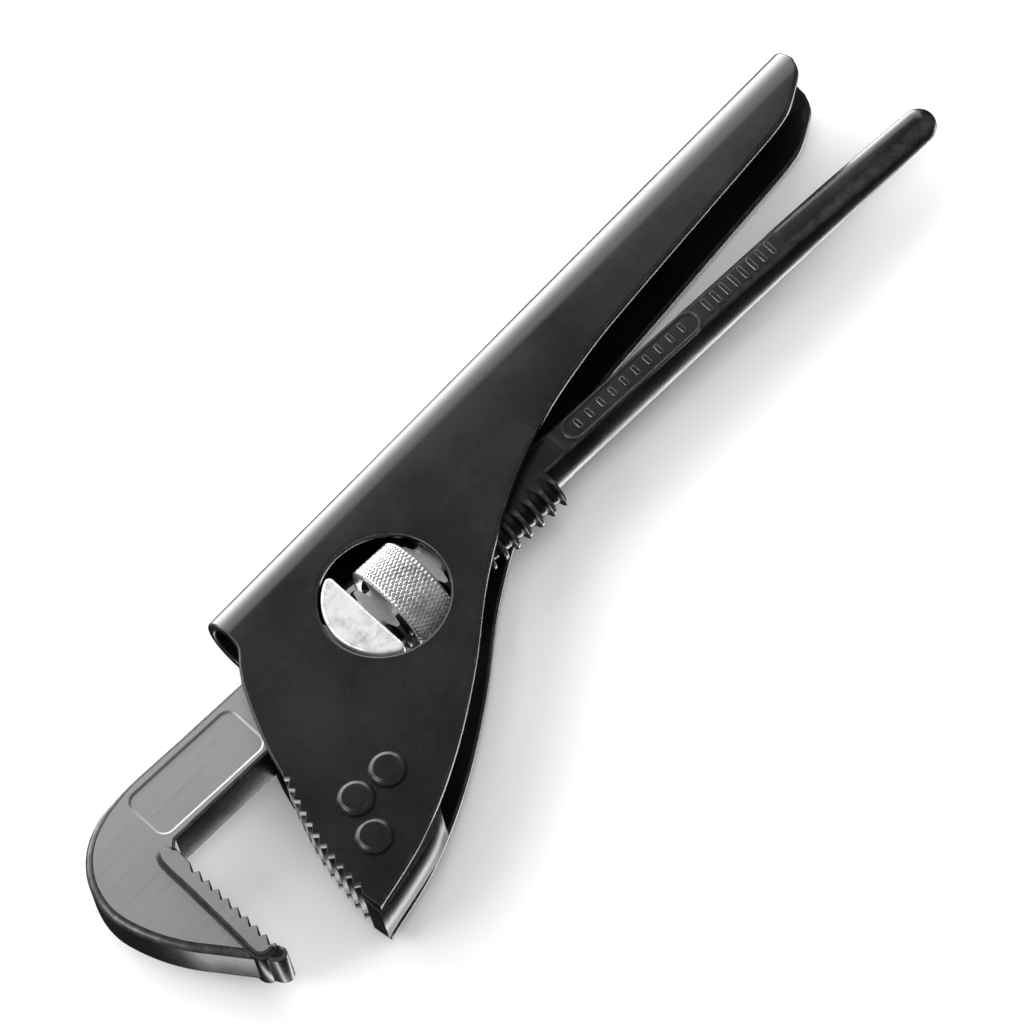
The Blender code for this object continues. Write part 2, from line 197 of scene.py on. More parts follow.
def inside(places: np.ndarray, loops: Sequence[np.ndarray]) -> np.ndarray:
    """Which places a ray to the right leaves through an odd number of edges of the loops.

    Args:
        places: Points to test.
        loops: Closed loops; one inside another is a hole.

    Returns:
        True for each place that is inside.
    """
    crossings = np.zeros(len(places), int)
    for loop in loops:
        a, b = loop[None], np.roll(loop, -1, axis=0)[None]
        x, y = places[:, None, 0], places[:, None, 1]
        spans = (a[..., 1] > y) != (b[..., 1] > y)
        rise = np.where(spans, b[..., 1] - a[..., 1], 1.0)
        meets = a[..., 0] + (y - a[..., 1]) / rise * (b[..., 0] - a[..., 0])
        crossings += np.sum(spans & (meets > x), axis=1)
    return crossings % 2 == 1


def fill(loops: Sequence[np.ndarray], seeds: np.ndarray | None = None) -> tuple[np.ndarray, np.ndarray]:
    """Triangles over the area between loops: a Delaunay net that keeps every loop's edges.

    Args:
        loops: The outer loop, then holes.
        seeds: More points to use inside.

    Returns:
        Points, and triangles as rows of three indices.
    """
    edges = []
    count = 0
    for loop in loops:
        index = np.arange(len(loop))
        edges.append(np.stack((index, np.roll(index, -1)), axis=1) + count)
        count += len(loop)
    points = np.vstack((*loops, seeds)) if seeds is not None and len(seeds) else np.vstack(loops)
    net = delaunay_2d_cdt(points.tolist(), np.vstack(edges).tolist(), [], 0, NET_GAP)
    net_points = np.array(net[0])
    triangles = np.array(net[2])
    return net_points, triangles[inside(net_points[triangles].mean(axis=1), loops)]


# --------------------------------------------------------------------------------------------------------
# Skins: points and faces of a piece before it is an object
# --------------------------------------------------------------------------------------------------------


class Skin:
    """Points and faces of one piece, gathered patch by patch, in millimetres from the pivot.

    Attributes:
        points: Points of each patch.
        edges: How much of an edge each of those points is.
        faces: Faces of each patch, as rows of indices into all the points.
        slots: Material number of each of those faces.
        count: How many points there are.
    """

    def __init__(self) -> None:
        """Start with nothing in it."""
        self.points: list[np.ndarray] = []
        self.edges: list[np.ndarray] = []
        self.faces: list[np.ndarray] = []
        self.slots: list[np.ndarray] = []
        self.count = 0

    def add(self, points: np.ndarray, faces: np.ndarray, slots: np.ndarray | int = 0,
            edge: np.ndarray | float = 0.0) -> None:
        """Add a patch.

        Args:
            points: Points, any grid shape with x, y, z last.
            faces: Rows of indices into the patch's own points.
            slots: Material number of each face, or one for all.
            edge: How much of an edge each point is, 0 on a flat and 1 on a corner.
        """
        flat = points.reshape(-1, 3)
        self.points.append(flat)
        self.edges.append(np.broadcast_to(edge, points.shape[:-1]).ravel())
        self.faces.append(faces + self.count)
        self.slots.append(np.broadcast_to(slots, len(faces)))
        self.count += len(flat)

    def join(self, other: Skin) -> None:
        """Take in another skin's patches.

        Args:
            other: The other skin, which stays as it is.
        """
        self.points += other.points
        self.edges += other.edges
        self.faces += [faces + self.count for faces in other.faces]
        self.slots += other.slots
        self.count += other.count

    def paint(self, chosen: Callable[[np.ndarray], np.ndarray], slot: int) -> None:
        """Give another finish to the faces that are chosen by their middles.

        Args:
            chosen: Takes the middles of faces to True or False for each.
            slot: Material number for the chosen faces.
        """
        points = np.vstack(self.points)
        self.slots = [np.where(chosen(points[faces].mean(axis=1)), slot, slots)
                      for faces, slots in zip(self.faces, self.slots)]

    def cap(self, ring: np.ndarray, slot: int = 0) -> None:
        """Close a ring of points with triangles to its middle.

        Args:
            ring: Points round the ring.
            slot: Material number.
        """
        index = np.arange(len(ring))
        fan = np.stack((index, np.roll(index, -1), np.full(len(ring), len(ring))), axis=1)
        self.add(np.vstack((ring, ring.mean(axis=0, keepdims=True))), fan, slot)


class RimShape(Enum):
    """How a rim turns from face to wall. The value is the power of the sine in its formula."""

    ROUND = 1.0
    CHAMFER = 1.85


@dataclass(frozen=True)
class Rim:
    """The turn from a plate's face to its wall.

    Attributes:
        run: How far in from the outline it starts.
        drop: How far down the wall it ends.
        shape: Round or chamfered.
        steps: Rows of faces across it.
    """

    run: float
    drop: float
    shape: RimShape = RimShape.ROUND
    steps: int = 5

    def rows(self) -> tuple[np.ndarray, np.ndarray, np.ndarray]:
        """Rows across the rim, from the face to the wall.

        With a turning angle from 0 to a quarter, the inset is one less its sine to a power, and the fall is
        one less its cosine to the same power.

        Returns:
            Share of the run and share of the drop at each row, and how much of an edge it is.
        """
        angle = np.linspace(0.0, QUARTER, self.steps + 1)
        inset = 1 - np.sin(angle) ** self.shape.value
        fall = 1 - np.cos(angle) ** self.shape.value
        # The edge value says where the finishes paint their highlight and wear: the middle of a round rim,
        # and both borders of a chamfer.
        edge = np.sin(2 * angle) if self.shape is RimShape.ROUND else np.abs(np.cos(2 * angle))
        edge[[0, -1]] = 0.0
        return inset, fall, edge


@dataclass
class Outline:
    """A closed line on a plate.

    Attributes:
        points: Its points in order.
        share: How much of the rim each point gets.
    """

    points: np.ndarray
    share: np.ndarray

    @classmethod
    def plain(cls, points: np.ndarray) -> Outline:
        """An outline with the whole rim everywhere."""
        return cls.joined((points, 1.0))

    @classmethod
    def joined(cls, *runs: tuple[np.ndarray, np.ndarray | float]) -> Outline:
        """Runs end to end, each with its share of the rim.

        Args:
            runs: Points and share of each run.

        Returns:
            The outline, without doubled points. Each share is the least of three neighbours, and then the
            mean of three, so that a rim narrows before a run of teeth.
        """
        points = np.vstack([run for run, _ in runs])
        share = np.concatenate([np.broadcast_to(value, len(run)) for run, value in runs])
        keep = np.linalg.norm(points - np.roll(points, 1, axis=0), axis=1) > LINE_GAP
        points, share = points[keep], share[keep]
        for blend in (np.min, np.mean):
            near = blend([np.roll(share, shift) for shift in (-1, 0, 1)], axis=0)
            share = np.minimum(share, near)
        return cls(points, share)

    def facing(self, counter_clockwise: bool) -> Outline:
        """The same outline, running the way asked for, judged by its signed area.

        Args:
            counter_clockwise: Whether it should run that way.

        Returns:
            This outline, or its reverse.
        """
        x, y = self.points.T
        area = np.sum(x * np.roll(y, -1) - np.roll(x, -1) * y)
        if (area > 0) == counter_clockwise:
            return self
        return Outline(self.points[::-1], self.share[::-1])

    def inward(self) -> np.ndarray:
        """Step to the left of travel that shifts both edges at a point by one.

        It is the sum of the two edges' unit normals over one plus their dot product.

        Returns:
            One step for each point.
        """
        edge = np.roll(self.points, -1, axis=0) - self.points
        edge /= np.linalg.norm(edge, axis=1, keepdims=True)
        normal = np.stack((-edge[:, 1], edge[:, 0]), axis=1)
        before = np.roll(normal, 1, axis=0)
        along = np.sum(before * normal, axis=1, keepdims=True)
        return (before + normal) / np.maximum(1 + along, LEAST_TURN)


@dataclass(frozen=True)
class Pocket:
    """A shallow recess in a plate's faces.

    Attributes:
        points: Its outline.
        depth: How deep it is.
        lip: Half the width of the step round it.
    """

    points: np.ndarray
    depth: float
    lip: float

    def rows(self) -> tuple[np.ndarray, np.ndarray, np.ndarray]:
        """Rows across the step, from the face to the floor.

        Returns:
            Points of each row, how far each row is down, and how much of an edge it is.
        """
        line = Outline.plain(self.points).facing(counter_clockwise=True)
        across = np.array(STEP_ROWS)
        down = ease((across + 1) / 2)
        rows = line.points + (self.lip * across)[:, None, None] * line.inward()
        # The edge value peaks mid-step, where the ground finish paints a highlight line round the panel.
        return rows, self.depth * down, 4 * down * (1 - down)


def lifted(flat: np.ndarray, height: np.ndarray) -> np.ndarray:
    """Points of a flat plate: x and y as they are, and z from the height."""
    return np.concatenate((flat, height[..., None]), axis=-1)


def plate(outlines: Sequence[Outline], half: float, rim: Rim, shape: Shaper = lifted,
          seeds: np.ndarray | None = None, pockets: Sequence[Pocket] = ()) -> Skin:
    """A sheet of even thickness with a turned rim on its outline and holes.

    Each edge is a grid of rows round the outline: one flat row, the rim, the wall, and the same mirrored.

    Args:
        outlines: The outer outline, then holes.
        half: Half the thickness.
        rim: How faces turn into walls.
        shape: Takes flat points and heights to points in space.
        seeds: More points on the faces, for a plate that is bent.
        pockets: Recesses in both faces.

    Returns:
        The skin, with the faces in slot 0 and the walls in slot 1.
    """
    skin = Skin()
    loops = []
    inset, fall, edge = rim.rows()
    for number, outline in enumerate(outlines):
        line = outline.facing(counter_clockwise=number == 0)
        steps_in = np.vstack(((rim.run + SUPPORT) * line.share, rim.run * inset[:, None] * line.share))
        steps_down = np.vstack((np.zeros(len(line.share)), rim.drop * fall[:, None] * line.share))
        flat = line.points + steps_in[..., None] * line.inward()
        height = half - steps_down
        edges = np.concatenate(([0.0], edge))
        rows = np.concatenate((flat, flat[::-1]))
        heights = np.concatenate((height, -height[::-1]))
        both = np.concatenate((edges, edges[::-1]))[:, None]
        faces = grid_faces(len(rows), len(line.share), closed=True)
        row = faces[:, 0] // len(line.share)
        from_face = np.minimum(row, len(rows) - 2 - row)
        skin.add(shape(rows, heights), faces, np.where(from_face > 0, 1, 0), both)
        loops.append(flat[0])
    for pocket in pockets:
        rows, down, edges = pocket.rows()
        faces = grid_faces(len(rows), rows.shape[1], closed=True)
        floor, triangles = fill([rows[-1]])
        for side in (1, -1):
            height = np.broadcast_to((side * (half - down))[:, None], rows.shape[:2])
            skin.add(shape(rows, height), faces[:, ::side], 0, edges[:, None])
            deep = np.full(len(floor), side * (half - pocket.depth))
            skin.add(shape(floor, deep), triangles[:, ::side], 0)
        loops.append(rows[0])
    points, triangles = fill(loops, seeds)
    for side in (1, -1):
        skin.add(shape(points, np.full(len(points), side * half)), triangles[:, ::side], 0)
    return skin


def turned(centre: tuple[float, float], radius: np.ndarray, height: np.ndarray, edge: np.ndarray,
           steps: int) -> Skin:
    """A profile turned about an upright line: the radius times the cosine and sine of the turn.

    Args:
        centre: Where the line is, in x and y.
        radius: Radius at each point of the profile.
        height: Height at each point of the profile.
        edge: How much of an edge each point is.
        steps: How many times the profile is repeated round the axis.

    Returns:
        The skin. Points on the axis fall together and are merged later.
    """
    turn = ring_angles(steps)
    x = centre[0] + radius[:, None] * np.cos(turn)
    y = centre[1] + radius[:, None] * np.sin(turn)
    z = np.broadcast_to(height[:, None], x.shape)
    skin = Skin()
    skin.add(np.stack((x, y, z), axis=-1), grid_faces(len(radius), steps, closed=True), 0, edge[:, None])
    return skin


# --------------------------------------------------------------------------------------------------------
# Finishes
# --------------------------------------------------------------------------------------------------------


class Nodes:
    """The nodes of a material or a world, added and linked in a few words.

    Attributes:
        tree: The tree that holds them.
    """

    def __init__(self, tree: bpy.types.NodeTree) -> None:
        """Take the tree to work on."""
        self.tree = tree

    def add(self, kind: str, **settings: object) -> bpy.types.Node:
        """Add a node.

        Args:
            kind: Blender's name for the kind of node.
            settings: Properties to set on it.

        Returns:
            The node.
        """
        node = self.tree.nodes.new(kind)
        for key, value in settings.items():
            setattr(node, key, value)
        return node

    def feed(self, target: bpy.types.NodeSocket, value: object) -> None:
        """Link a socket to an input, or set the input to a plain value.

        Args:
            target: The input.
            value: A node's output, or the value.
        """
        if isinstance(value, bpy.types.NodeSocket):
            self.tree.links.new(value, target)
        else:
            target.default_value = value

    def span(self, value: bpy.types.NodeSocket, source: tuple[float, float],
             target: tuple[float, float], smooth: bool = False) -> bpy.types.NodeSocket:
        """Map a value from one range to another, held at both ends.

        Args:
            value: The value.
            source: Where the range starts and ends.
            target: What those two become.
            smooth: Whether it eases in and out.

        Returns:
            The mapped value.
        """
        easing = "SMOOTHSTEP" if smooth else "LINEAR"
        node = self.add("ShaderNodeMapRange", clamp=True, interpolation_type=easing)
        self.feed(node.inputs["Value"], value)
        for name, number in zip(("From Min", "From Max", "To Min", "To Max"), (*source, *target)):
            node.inputs[name].default_value = number
        return node.outputs["Result"]

    def maths(self, operation: str, first: object, second: object) -> bpy.types.NodeSocket:
        """Work out one value from two.

        Args:
            operation: Blender's name for what to do with them.
            first: A node's output, or a number.
            second: The same.

        Returns:
            The result.
        """
        node = self.add("ShaderNodeMath", operation=operation)
        self.feed(node.inputs[0], first)
        self.feed(node.inputs[1], second)
        return node.outputs[0]

    def weighed(self, *parts: tuple[bpy.types.NodeSocket, float]) -> bpy.types.NodeSocket:
        """The sum of some values, each times its weight.

        Args:
            parts: Each value and its weight.

        Returns:
            The sum.
        """
        total = None
        for value, weight in parts:
            scaled = self.maths("MULTIPLY", value, weight)
            total = scaled if total is None else self.maths("ADD", total, scaled)
        return total


class Graph(Nodes):
    """The nodes of a new material.

    Attributes:
        material: The material.
        shader: Its shader node.
        place: Object coordinates, on which every pattern lies.
    """

    def __init__(self, name: str) -> None:
        """Make the material and find its shader.

        Args:
            name: Name of the material.
        """
        self.material = bpy.data.materials.new(name)
        self.material.use_nodes = True
        super().__init__(self.material.node_tree)
        self.shader = self.tree.nodes["Principled BSDF"]
        self.place = self.add("ShaderNodeTexCoord").outputs["Object"]

    def put(self, **values: object) -> None:
        """Feed the shader's inputs. An underscore in a name stands for a space."""
        for key, value in values.items():
            self.feed(self.shader.inputs[key.replace("_", " ")], value)

    def stretched(self, scale: tuple[float, float, float], turn: float = 0.0) -> bpy.types.NodeSocket:
        """Object coordinates scaled along each axis, and turned about Z.

        Args:
            scale: Scale along x, y and z.
            turn: The turn in radians.

        Returns:
            The coordinates.
        """
        node = self.add("ShaderNodeMapping")
        node.inputs["Scale"].default_value = scale
        node.inputs["Rotation"].default_value = (0.0, 0.0, turn)
        self.feed(node.inputs["Vector"], self.place)
        return node.outputs["Vector"]

    def noise(self, scale: float, detail: float = 3.0, rough: float = 0.55,
              place: bpy.types.NodeSocket | None = None) -> bpy.types.NodeSocket:
        """Soft random noise.

        Args:
            scale: How fine it is.
            detail: How many finer layers it has.
            rough: How strong those layers are.
            place: Coordinates, or None for the object's own.

        Returns:
            A value about 0.5.
        """
        node = self.add("ShaderNodeTexNoise")
        self.feed(node.inputs["Vector"], place or self.place)
        node.inputs["Scale"].default_value = scale
        node.inputs["Detail"].default_value = detail
        node.inputs["Roughness"].default_value = rough
        return node.outputs["Fac"]

    def cells(self, scale: float) -> bpy.types.NodeSocket:
        """A random grey for each cell of a Voronoi pattern.

        Args:
            scale: How fine the cells are.

        Returns:
            The grey.
        """
        node = self.add("ShaderNodeTexVoronoi")
        self.feed(node.inputs["Vector"], self.place)
        node.inputs["Scale"].default_value = scale
        shade = self.add("ShaderNodeRGBToBW")
        self.feed(shade.inputs["Color"], node.outputs["Color"])
        return shade.outputs["Val"]

    def blend(self, share: object, first: object, second: object) -> bpy.types.NodeSocket:
        """Mix two colours.

        Args:
            share: How much of the second there is.
            first: The first colour.
            second: The second colour.

        Returns:
            The mixed colour.
        """
        node = self.add("ShaderNodeMix", data_type="RGBA")
        for number, value in ((0, share), (6, first), (7, second)):
            self.feed(node.inputs[number], value)
        return node.outputs[2]

    def edge(self) -> bpy.types.NodeSocket:
        """How much of an edge the surface is, from the mesh's own attribute."""
        return self.add("ShaderNodeAttribute", attribute_name="edge").outputs["Fac"]

    def bumps(self, *layers: tuple[bpy.types.NodeSocket, float, float]) -> None:
        """Lay bumps over each other on the shader's normal.

        Args:
            layers: Height, strength and distance in metres of each.
        """
        under = None
        for height, strength, distance in layers:
            node = self.add("ShaderNodeBump")
            node.inputs["Strength"].default_value = strength
            node.inputs["Distance"].default_value = distance
            self.feed(node.inputs["Height"], height)
            if under is not None:
                self.feed(node.inputs["Normal"], under)
            under = node.outputs["Normal"]
        self.feed(self.shader.inputs["Normal"], under)


def grey(value: float, warmth: float = 0.0) -> tuple[float, float, float, float]:
    """A grey with a little more red than blue for a positive warmth."""
    return (value * (1 + warmth), value, value * (1 - warmth), 1.0)


@dataclass(frozen=True)
class BlackEnamel:
    """Semi-gloss stoved enamel: faint orange peel, uneven sheen, and edges painted lighter, partly as rubbed
    wear and partly as a painted highlight.

    Attributes:
        name: Name of the material.
        dark: Grey of the darker patches.
        light: Grey of the lighter patches.
        smooth: Roughness of the glossier patches.
        dull: Roughness of the duller patches.
        edge_rub_and_highlight: Grey that the edges are painted towards, partly rubbed wear and partly a
            painted highlight along every edge.
    """

    name: str = "black_enamel"
    dark: float = 0.0025
    light: float = 0.0055
    smooth: float = 0.22
    dull: float = 0.31
    edge_rub_and_highlight: float = 0.10

    def make(self) -> bpy.types.Material:
        """Build the material.

        Returns:
            The material.
        """
        graph = Graph(self.name)
        cloud = graph.noise(38.0, 4.0)
        fine = graph.noise(420.0, 2.0)
        peel = graph.noise(1100.0, 1.5, 0.4)
        dust = graph.span(graph.noise(2600.0, 1.0), (0.72, 0.80), (0.0, 0.10))
        colour = graph.blend(graph.span(cloud, (0.35, 0.65), (0.0, 1.0)), grey(self.dark), grey(self.light))
        colour = graph.blend(dust, colour, grey(0.12, 0.04))
        # Painted highlight and wear: every edge is painted at least a tenth of the way towards the rub grey,
        # and noisy chips paint it further.
        edge_chips_and_highlight = graph.span(graph.noise(300.0, 4.0, 0.65), (0.50, 0.66), (0.105, 0.3))
        colour = graph.blend(graph.maths("MULTIPLY", graph.edge(), edge_chips_and_highlight), colour, grey(self.edge_rub_and_highlight))
        rough = graph.span(graph.weighed((cloud, 1.0), (fine, 0.35)), (0.45, 0.85), (self.smooth, self.dull))
        graph.put(Base_Color=colour, Roughness=rough, IOR=1.48, Specular_IOR_Level=0.5)
        graph.bumps((peel, 0.10, 0.00004), (graph.noise(160.0, 2.0), 0.05, 0.00025))
        return graph.material


@dataclass(frozen=True)
class BlackForging:
    """Black oxide on forged steel: a metal sheen under it, a faint skin of scale, and edges painted brighter,
    partly as worn bare metal and partly as a painted highlight.

    Attributes:
        name: Name of the material.
        dark: Grey of the darker patches.
        light: Grey of the lighter patches.
        smooth: Roughness of the glossier patches.
        dull: Roughness of the duller patches.
        bare_and_highlight_grey: Grey of the edges, painted as worn metal and as a painted highlight.
        wear_and_highlight: How much of an edge is painted bright, as wear and as a painted highlight.
        shine: Strength of its mirror reflections.
    """

    name: str = "black_forging"
    dark: float = 0.003
    light: float = 0.008
    smooth: float = 0.19
    dull: float = 0.31
    bare_and_highlight_grey: float = 0.36
    wear_and_highlight: float = 0.25
    shine: float = 0.45

    def make(self) -> bpy.types.Material:
        """Build the material.

        Returns:
            The material.
        """
        graph = Graph(self.name)
        cloud = graph.noise(60.0, 5.0, 0.6)
        scale = graph.noise(700.0, 3.0, 0.6)
        patches = graph.span(cloud, (0.35, 0.65), (0.0, 1.0))
        colour = graph.blend(patches, grey(self.dark), grey(self.light, 0.02))
        # Painted highlight and wear: every edge is painted at least three tenths of the wear share towards
        # the bare grey, and noisy chips paint it further.
        edge_chips_and_highlight = graph.span(graph.noise(380.0, 4.0, 0.7), (0.42, 0.62), (0.3, 1.0))
        worn_and_highlight = graph.maths("MULTIPLY", graph.maths("MULTIPLY", graph.edge(), edge_chips_and_highlight), self.wear_and_highlight)
        colour = graph.blend(worn_and_highlight, colour, grey(self.bare_and_highlight_grey, 0.01))
        rough = graph.span(graph.weighed((cloud, 1.0), (scale, 0.4)), (0.45, 0.95), (self.smooth, self.dull))
        graph.put(Base_Color=colour, Roughness=rough, Metallic=graph.span(worn_and_highlight, (0.0, 0.4), (0.0, 0.9)),
                  IOR=1.5, Specular_IOR_Level=self.shine)
        graph.bumps((scale, 0.12, 0.00005), (graph.noise(220.0, 2.0), 0.12, 0.0003))
        return graph.material


@dataclass(frozen=True)
class GroundSteel:
    """Satin faces left by a grinding belt: fine lines one way, soft patches, and a painted highlight along
    the edges.

    Attributes:
        name: Name of the material.
        dark: Grey of the darker lines.
        light: Grey of the lighter lines.
        smooth: Roughness along the brighter lines.
        dull: Roughness along the duller lines.
        grain_turn: Direction of the lines about Z, in degrees.
    """

    name: str = "ground_steel"
    dark: float = 0.30
    light: float = 0.37
    smooth: float = 0.34
    dull: float = 0.46
    grain_turn: float = 3.0

    def make(self) -> bpy.types.Material:
        """Build the material.

        Returns:
            The material.
        """
        graph = Graph(self.name)
        turn = math.radians(self.grain_turn)
        lines = graph.noise(1.0, 3.0, 0.65, graph.stretched((90.0, 4200.0, 400.0), turn))
        broad = graph.noise(1.0, 2.0, 0.5, graph.stretched((25.0, 700.0, 200.0), turn))
        cloud = graph.noise(70.0, 4.0)
        mixed = graph.weighed((lines, 0.4), (broad, 0.3), (cloud, 0.3))
        colour = graph.blend(graph.span(mixed, (0.38, 0.62), (0.0, 1.0)), grey(self.dark), grey(self.light))
        # Painted highlight: the edges are mixed a third of the way towards a light grey.
        colour = graph.blend(graph.maths("MULTIPLY", graph.edge(), 0.35), colour, grey(0.6))
        graph.put(Base_Color=colour, Roughness=graph.span(mixed, (0.38, 0.62), (self.dull, self.smooth)),
                  Metallic=1.0)
        graph.bumps((lines, 0.06, 0.00002), (cloud, 0.03, 0.0002))
        return graph.material


@dataclass(frozen=True)
class BrightZinc:
    """Bright zinc plate over cast grain: cool and mottled, with small pits.

    Attributes:
        name: Name of the material.
        dark: Grey of the dull blotches.
        light: Grey of the bright plate.
        smooth: Roughness of the bright plate.
        dull: Roughness of the blotches.
        pitting: Strength of the cast grain.
        metal: How much of its light is mirrored; the rest is scattered by the grain.
    """

    name: str = "bright_zinc"
    dark: float = 0.34
    light: float = 0.93
    smooth: float = 0.18
    dull: float = 0.40
    pitting: float = 0.35
    metal: float = 0.55

    def make(self) -> bpy.types.Material:
        """Build the material.

        Returns:
            The material.
        """
        graph = Graph(self.name)
        blotch = graph.span(graph.noise(190.0, 5.0, 0.65), (0.40, 0.64), (0.0, 1.0))
        grain = graph.noise(1500.0, 3.0, 0.6)
        spangle = graph.cells(900.0)
        mixed = graph.weighed((blotch, 0.6), (grain, 0.25), (spangle, 0.2))
        colour = graph.blend(graph.span(mixed, (0.25, 0.85), (0.0, 1.0)), grey(self.light, -0.01),
                             grey(self.dark, -0.02))
        graph.put(Base_Color=colour, Roughness=graph.span(mixed, (0.2, 0.9), (self.smooth, self.dull)),
                  Metallic=self.metal)
        graph.bumps((grain, self.pitting, 0.00006), (blotch, 0.08, 0.0001))
        return graph.material


# --------------------------------------------------------------------------------------------------------
# Objects
# --------------------------------------------------------------------------------------------------------


@dataclass(frozen=True)
class Place:
    """Where the wrench's millimetres lie in the frame.

    Attributes:
        pivot: The pivot, in metres.
        tilt: The lever's lean about Z at rest, in radians.
    """

    pivot: np.ndarray
    tilt: float

    @classmethod
    def from_joints(cls, joints: Sequence[dict]) -> Place:
        """Read the pivot and the tilt from the record's joints.

        Args:
            joints: The joints as the record lists them.

        Returns:
            The place of the wrench.
        """
        named = {joint["name"]: joint for joint in joints}
        axis = named["nut_spin"]["axis"]
        return cls(np.array(named["lever_swing"]["pos_m"]), math.atan2(axis[1], axis[0]))

    def on_frame(self, points: np.ndarray) -> np.ndarray:
        """Metres in the frame for points on the frame's axes."""
        return points * MM + self.pivot

    def on_lever(self, points: np.ndarray) -> np.ndarray:
        """Metres in the frame for points on the lever's axes.

        Args:
            points: Points in millimetres.

        Returns:
            The points turned by the tilt, and then moved to the pivot.
        """
        cosine, sine = math.cos(self.tilt), math.sin(self.tilt)
        turn = np.array([[cosine, sine, 0.0], [-sine, cosine, 0.0], [0.0, 0.0, 1.0]])
        return points @ turn * MM + self.pivot


@dataclass(frozen=True)
class Role:
    """What a piece belongs to.

    Attributes:
        body: The body that it rides on.
        slot: The record's material slot; not used.
        node: The node that it stands for.
    """

    body: str
    slot: str
    node: str


LEVER_ROLE = Role("hook_lever", "forged_steel", "hook_lever")


def add_object(name: str, data: bpy.types.ID) -> bpy.types.Object:
    """Put an object into the scene.

    Args:
        name: Its name.
        data: Its mesh, lamp or camera.

    Returns:
        The object.
    """
    thing = bpy.data.objects.new(name, data)
    bpy.context.scene.collection.objects.link(thing)
    return thing


def make_piece(name: str, skin: Skin, placed: Callable[[np.ndarray], np.ndarray],
               finishes: Sequence[bpy.types.Material], role: Role, sharp: float = SHARP) -> bpy.types.Object:
    """Turn a skin into an object: merge doubles, face it outwards, shade it smooth, and let it ride.

    Args:
        name: Name of the piece.
        skin: Its points and faces.
        placed: Takes millimetres to metres in the frame.
        finishes: Materials, in slot order.
        role: Its body, slot and node.
        sharp: Edges that turn by more than this many degrees stay sharp.

    Returns:
        The object.
    """
    mesh = bpy.data.meshes.new(name)
    faces = [face for patch in skin.faces for face in patch.tolist()]
    mesh.from_pydata(placed(np.vstack(skin.points)).tolist(), [], faces)
    edge = mesh.attributes.new("edge", "FLOAT", "POINT")
    edge.data.foreach_set("value", np.concatenate(skin.edges).astype(np.float32))
    for finish in finishes:
        mesh.materials.append(finish)
    numbers = np.minimum(np.concatenate(skin.slots), len(finishes) - 1)
    mesh.polygons.foreach_set("material_index", numbers.astype(np.int32))
    shell = bmesh.new()
    shell.from_mesh(mesh)
    bmesh.ops.remove_doubles(shell, verts=shell.verts, dist=MERGE)
    bmesh.ops.recalc_face_normals(shell, faces=shell.faces)
    open_edges = sum(not edge.is_manifold for edge in shell.edges)
    shell.to_mesh(mesh)
    shell.free()
    mesh.shade_smooth()
    mesh.set_sharp_from_angle(angle=math.radians(sharp))
    piece = add_object(name, mesh)
    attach(piece, role.body)
    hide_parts(role.node)
    LOG.info("%s: %d faces, %d open edges, rides on %s", name, len(mesh.polygons), open_edges, role.body)
    return piece


# --------------------------------------------------------------------------------------------------------
# Teeth, shared by both jaws
# --------------------------------------------------------------------------------------------------------


@dataclass(frozen=True)
class Teeth:
    """A row of saw teeth.

    Attributes:
        pitch: Distance from crest to crest.
        depth: How deep the roots are.
        fall: Share of the pitch that the steep side takes.
        crest: Width of the flat on each crest.
        root: Width of the flat in each root.
    """

    pitch: float = 3.36
    depth: float = 1.3
    fall: float = 0.3
    crest: float = 0.24
    root: float = 0.18

    def along(self, run: np.ndarray, count: int) -> np.ndarray:
        """Points of the teeth along a run.

        Crests lie on the run at whole pitches. Roots lie to its left by the depth, at a pitch's fall share
        after each crest. Both have a small flat, and the first crest's flat starts at the run's start and
        is half as wide again.

        Args:
            run: The line through the crests. The material is on its left.
            count: How many teeth.

        Returns:
            The points, from the first crest to the one after the last tooth.
        """
        tooth = np.arange(count)[:, None] * self.pitch
        half_crest, half_root = self.crest / 2, self.root / 2
        offsets = np.array([-half_crest, half_crest, self.fall * self.pitch - half_root,
                            self.fall * self.pitch + half_root])
        depths = np.tile([0.0, 0.0, self.depth, self.depth], count)
        distance = np.append((tooth + offsets).ravel(), count * self.pitch)
        distance[:2] = 0.0, 1.5 * self.crest
        place, heading = walk(run, distance)
        left = np.stack((-heading[:, 1], heading[:, 0]), axis=1)
        return place + np.append(depths, 0.0)[:, None] * left


# --------------------------------------------------------------------------------------------------------
# The frame's side
# --------------------------------------------------------------------------------------------------------


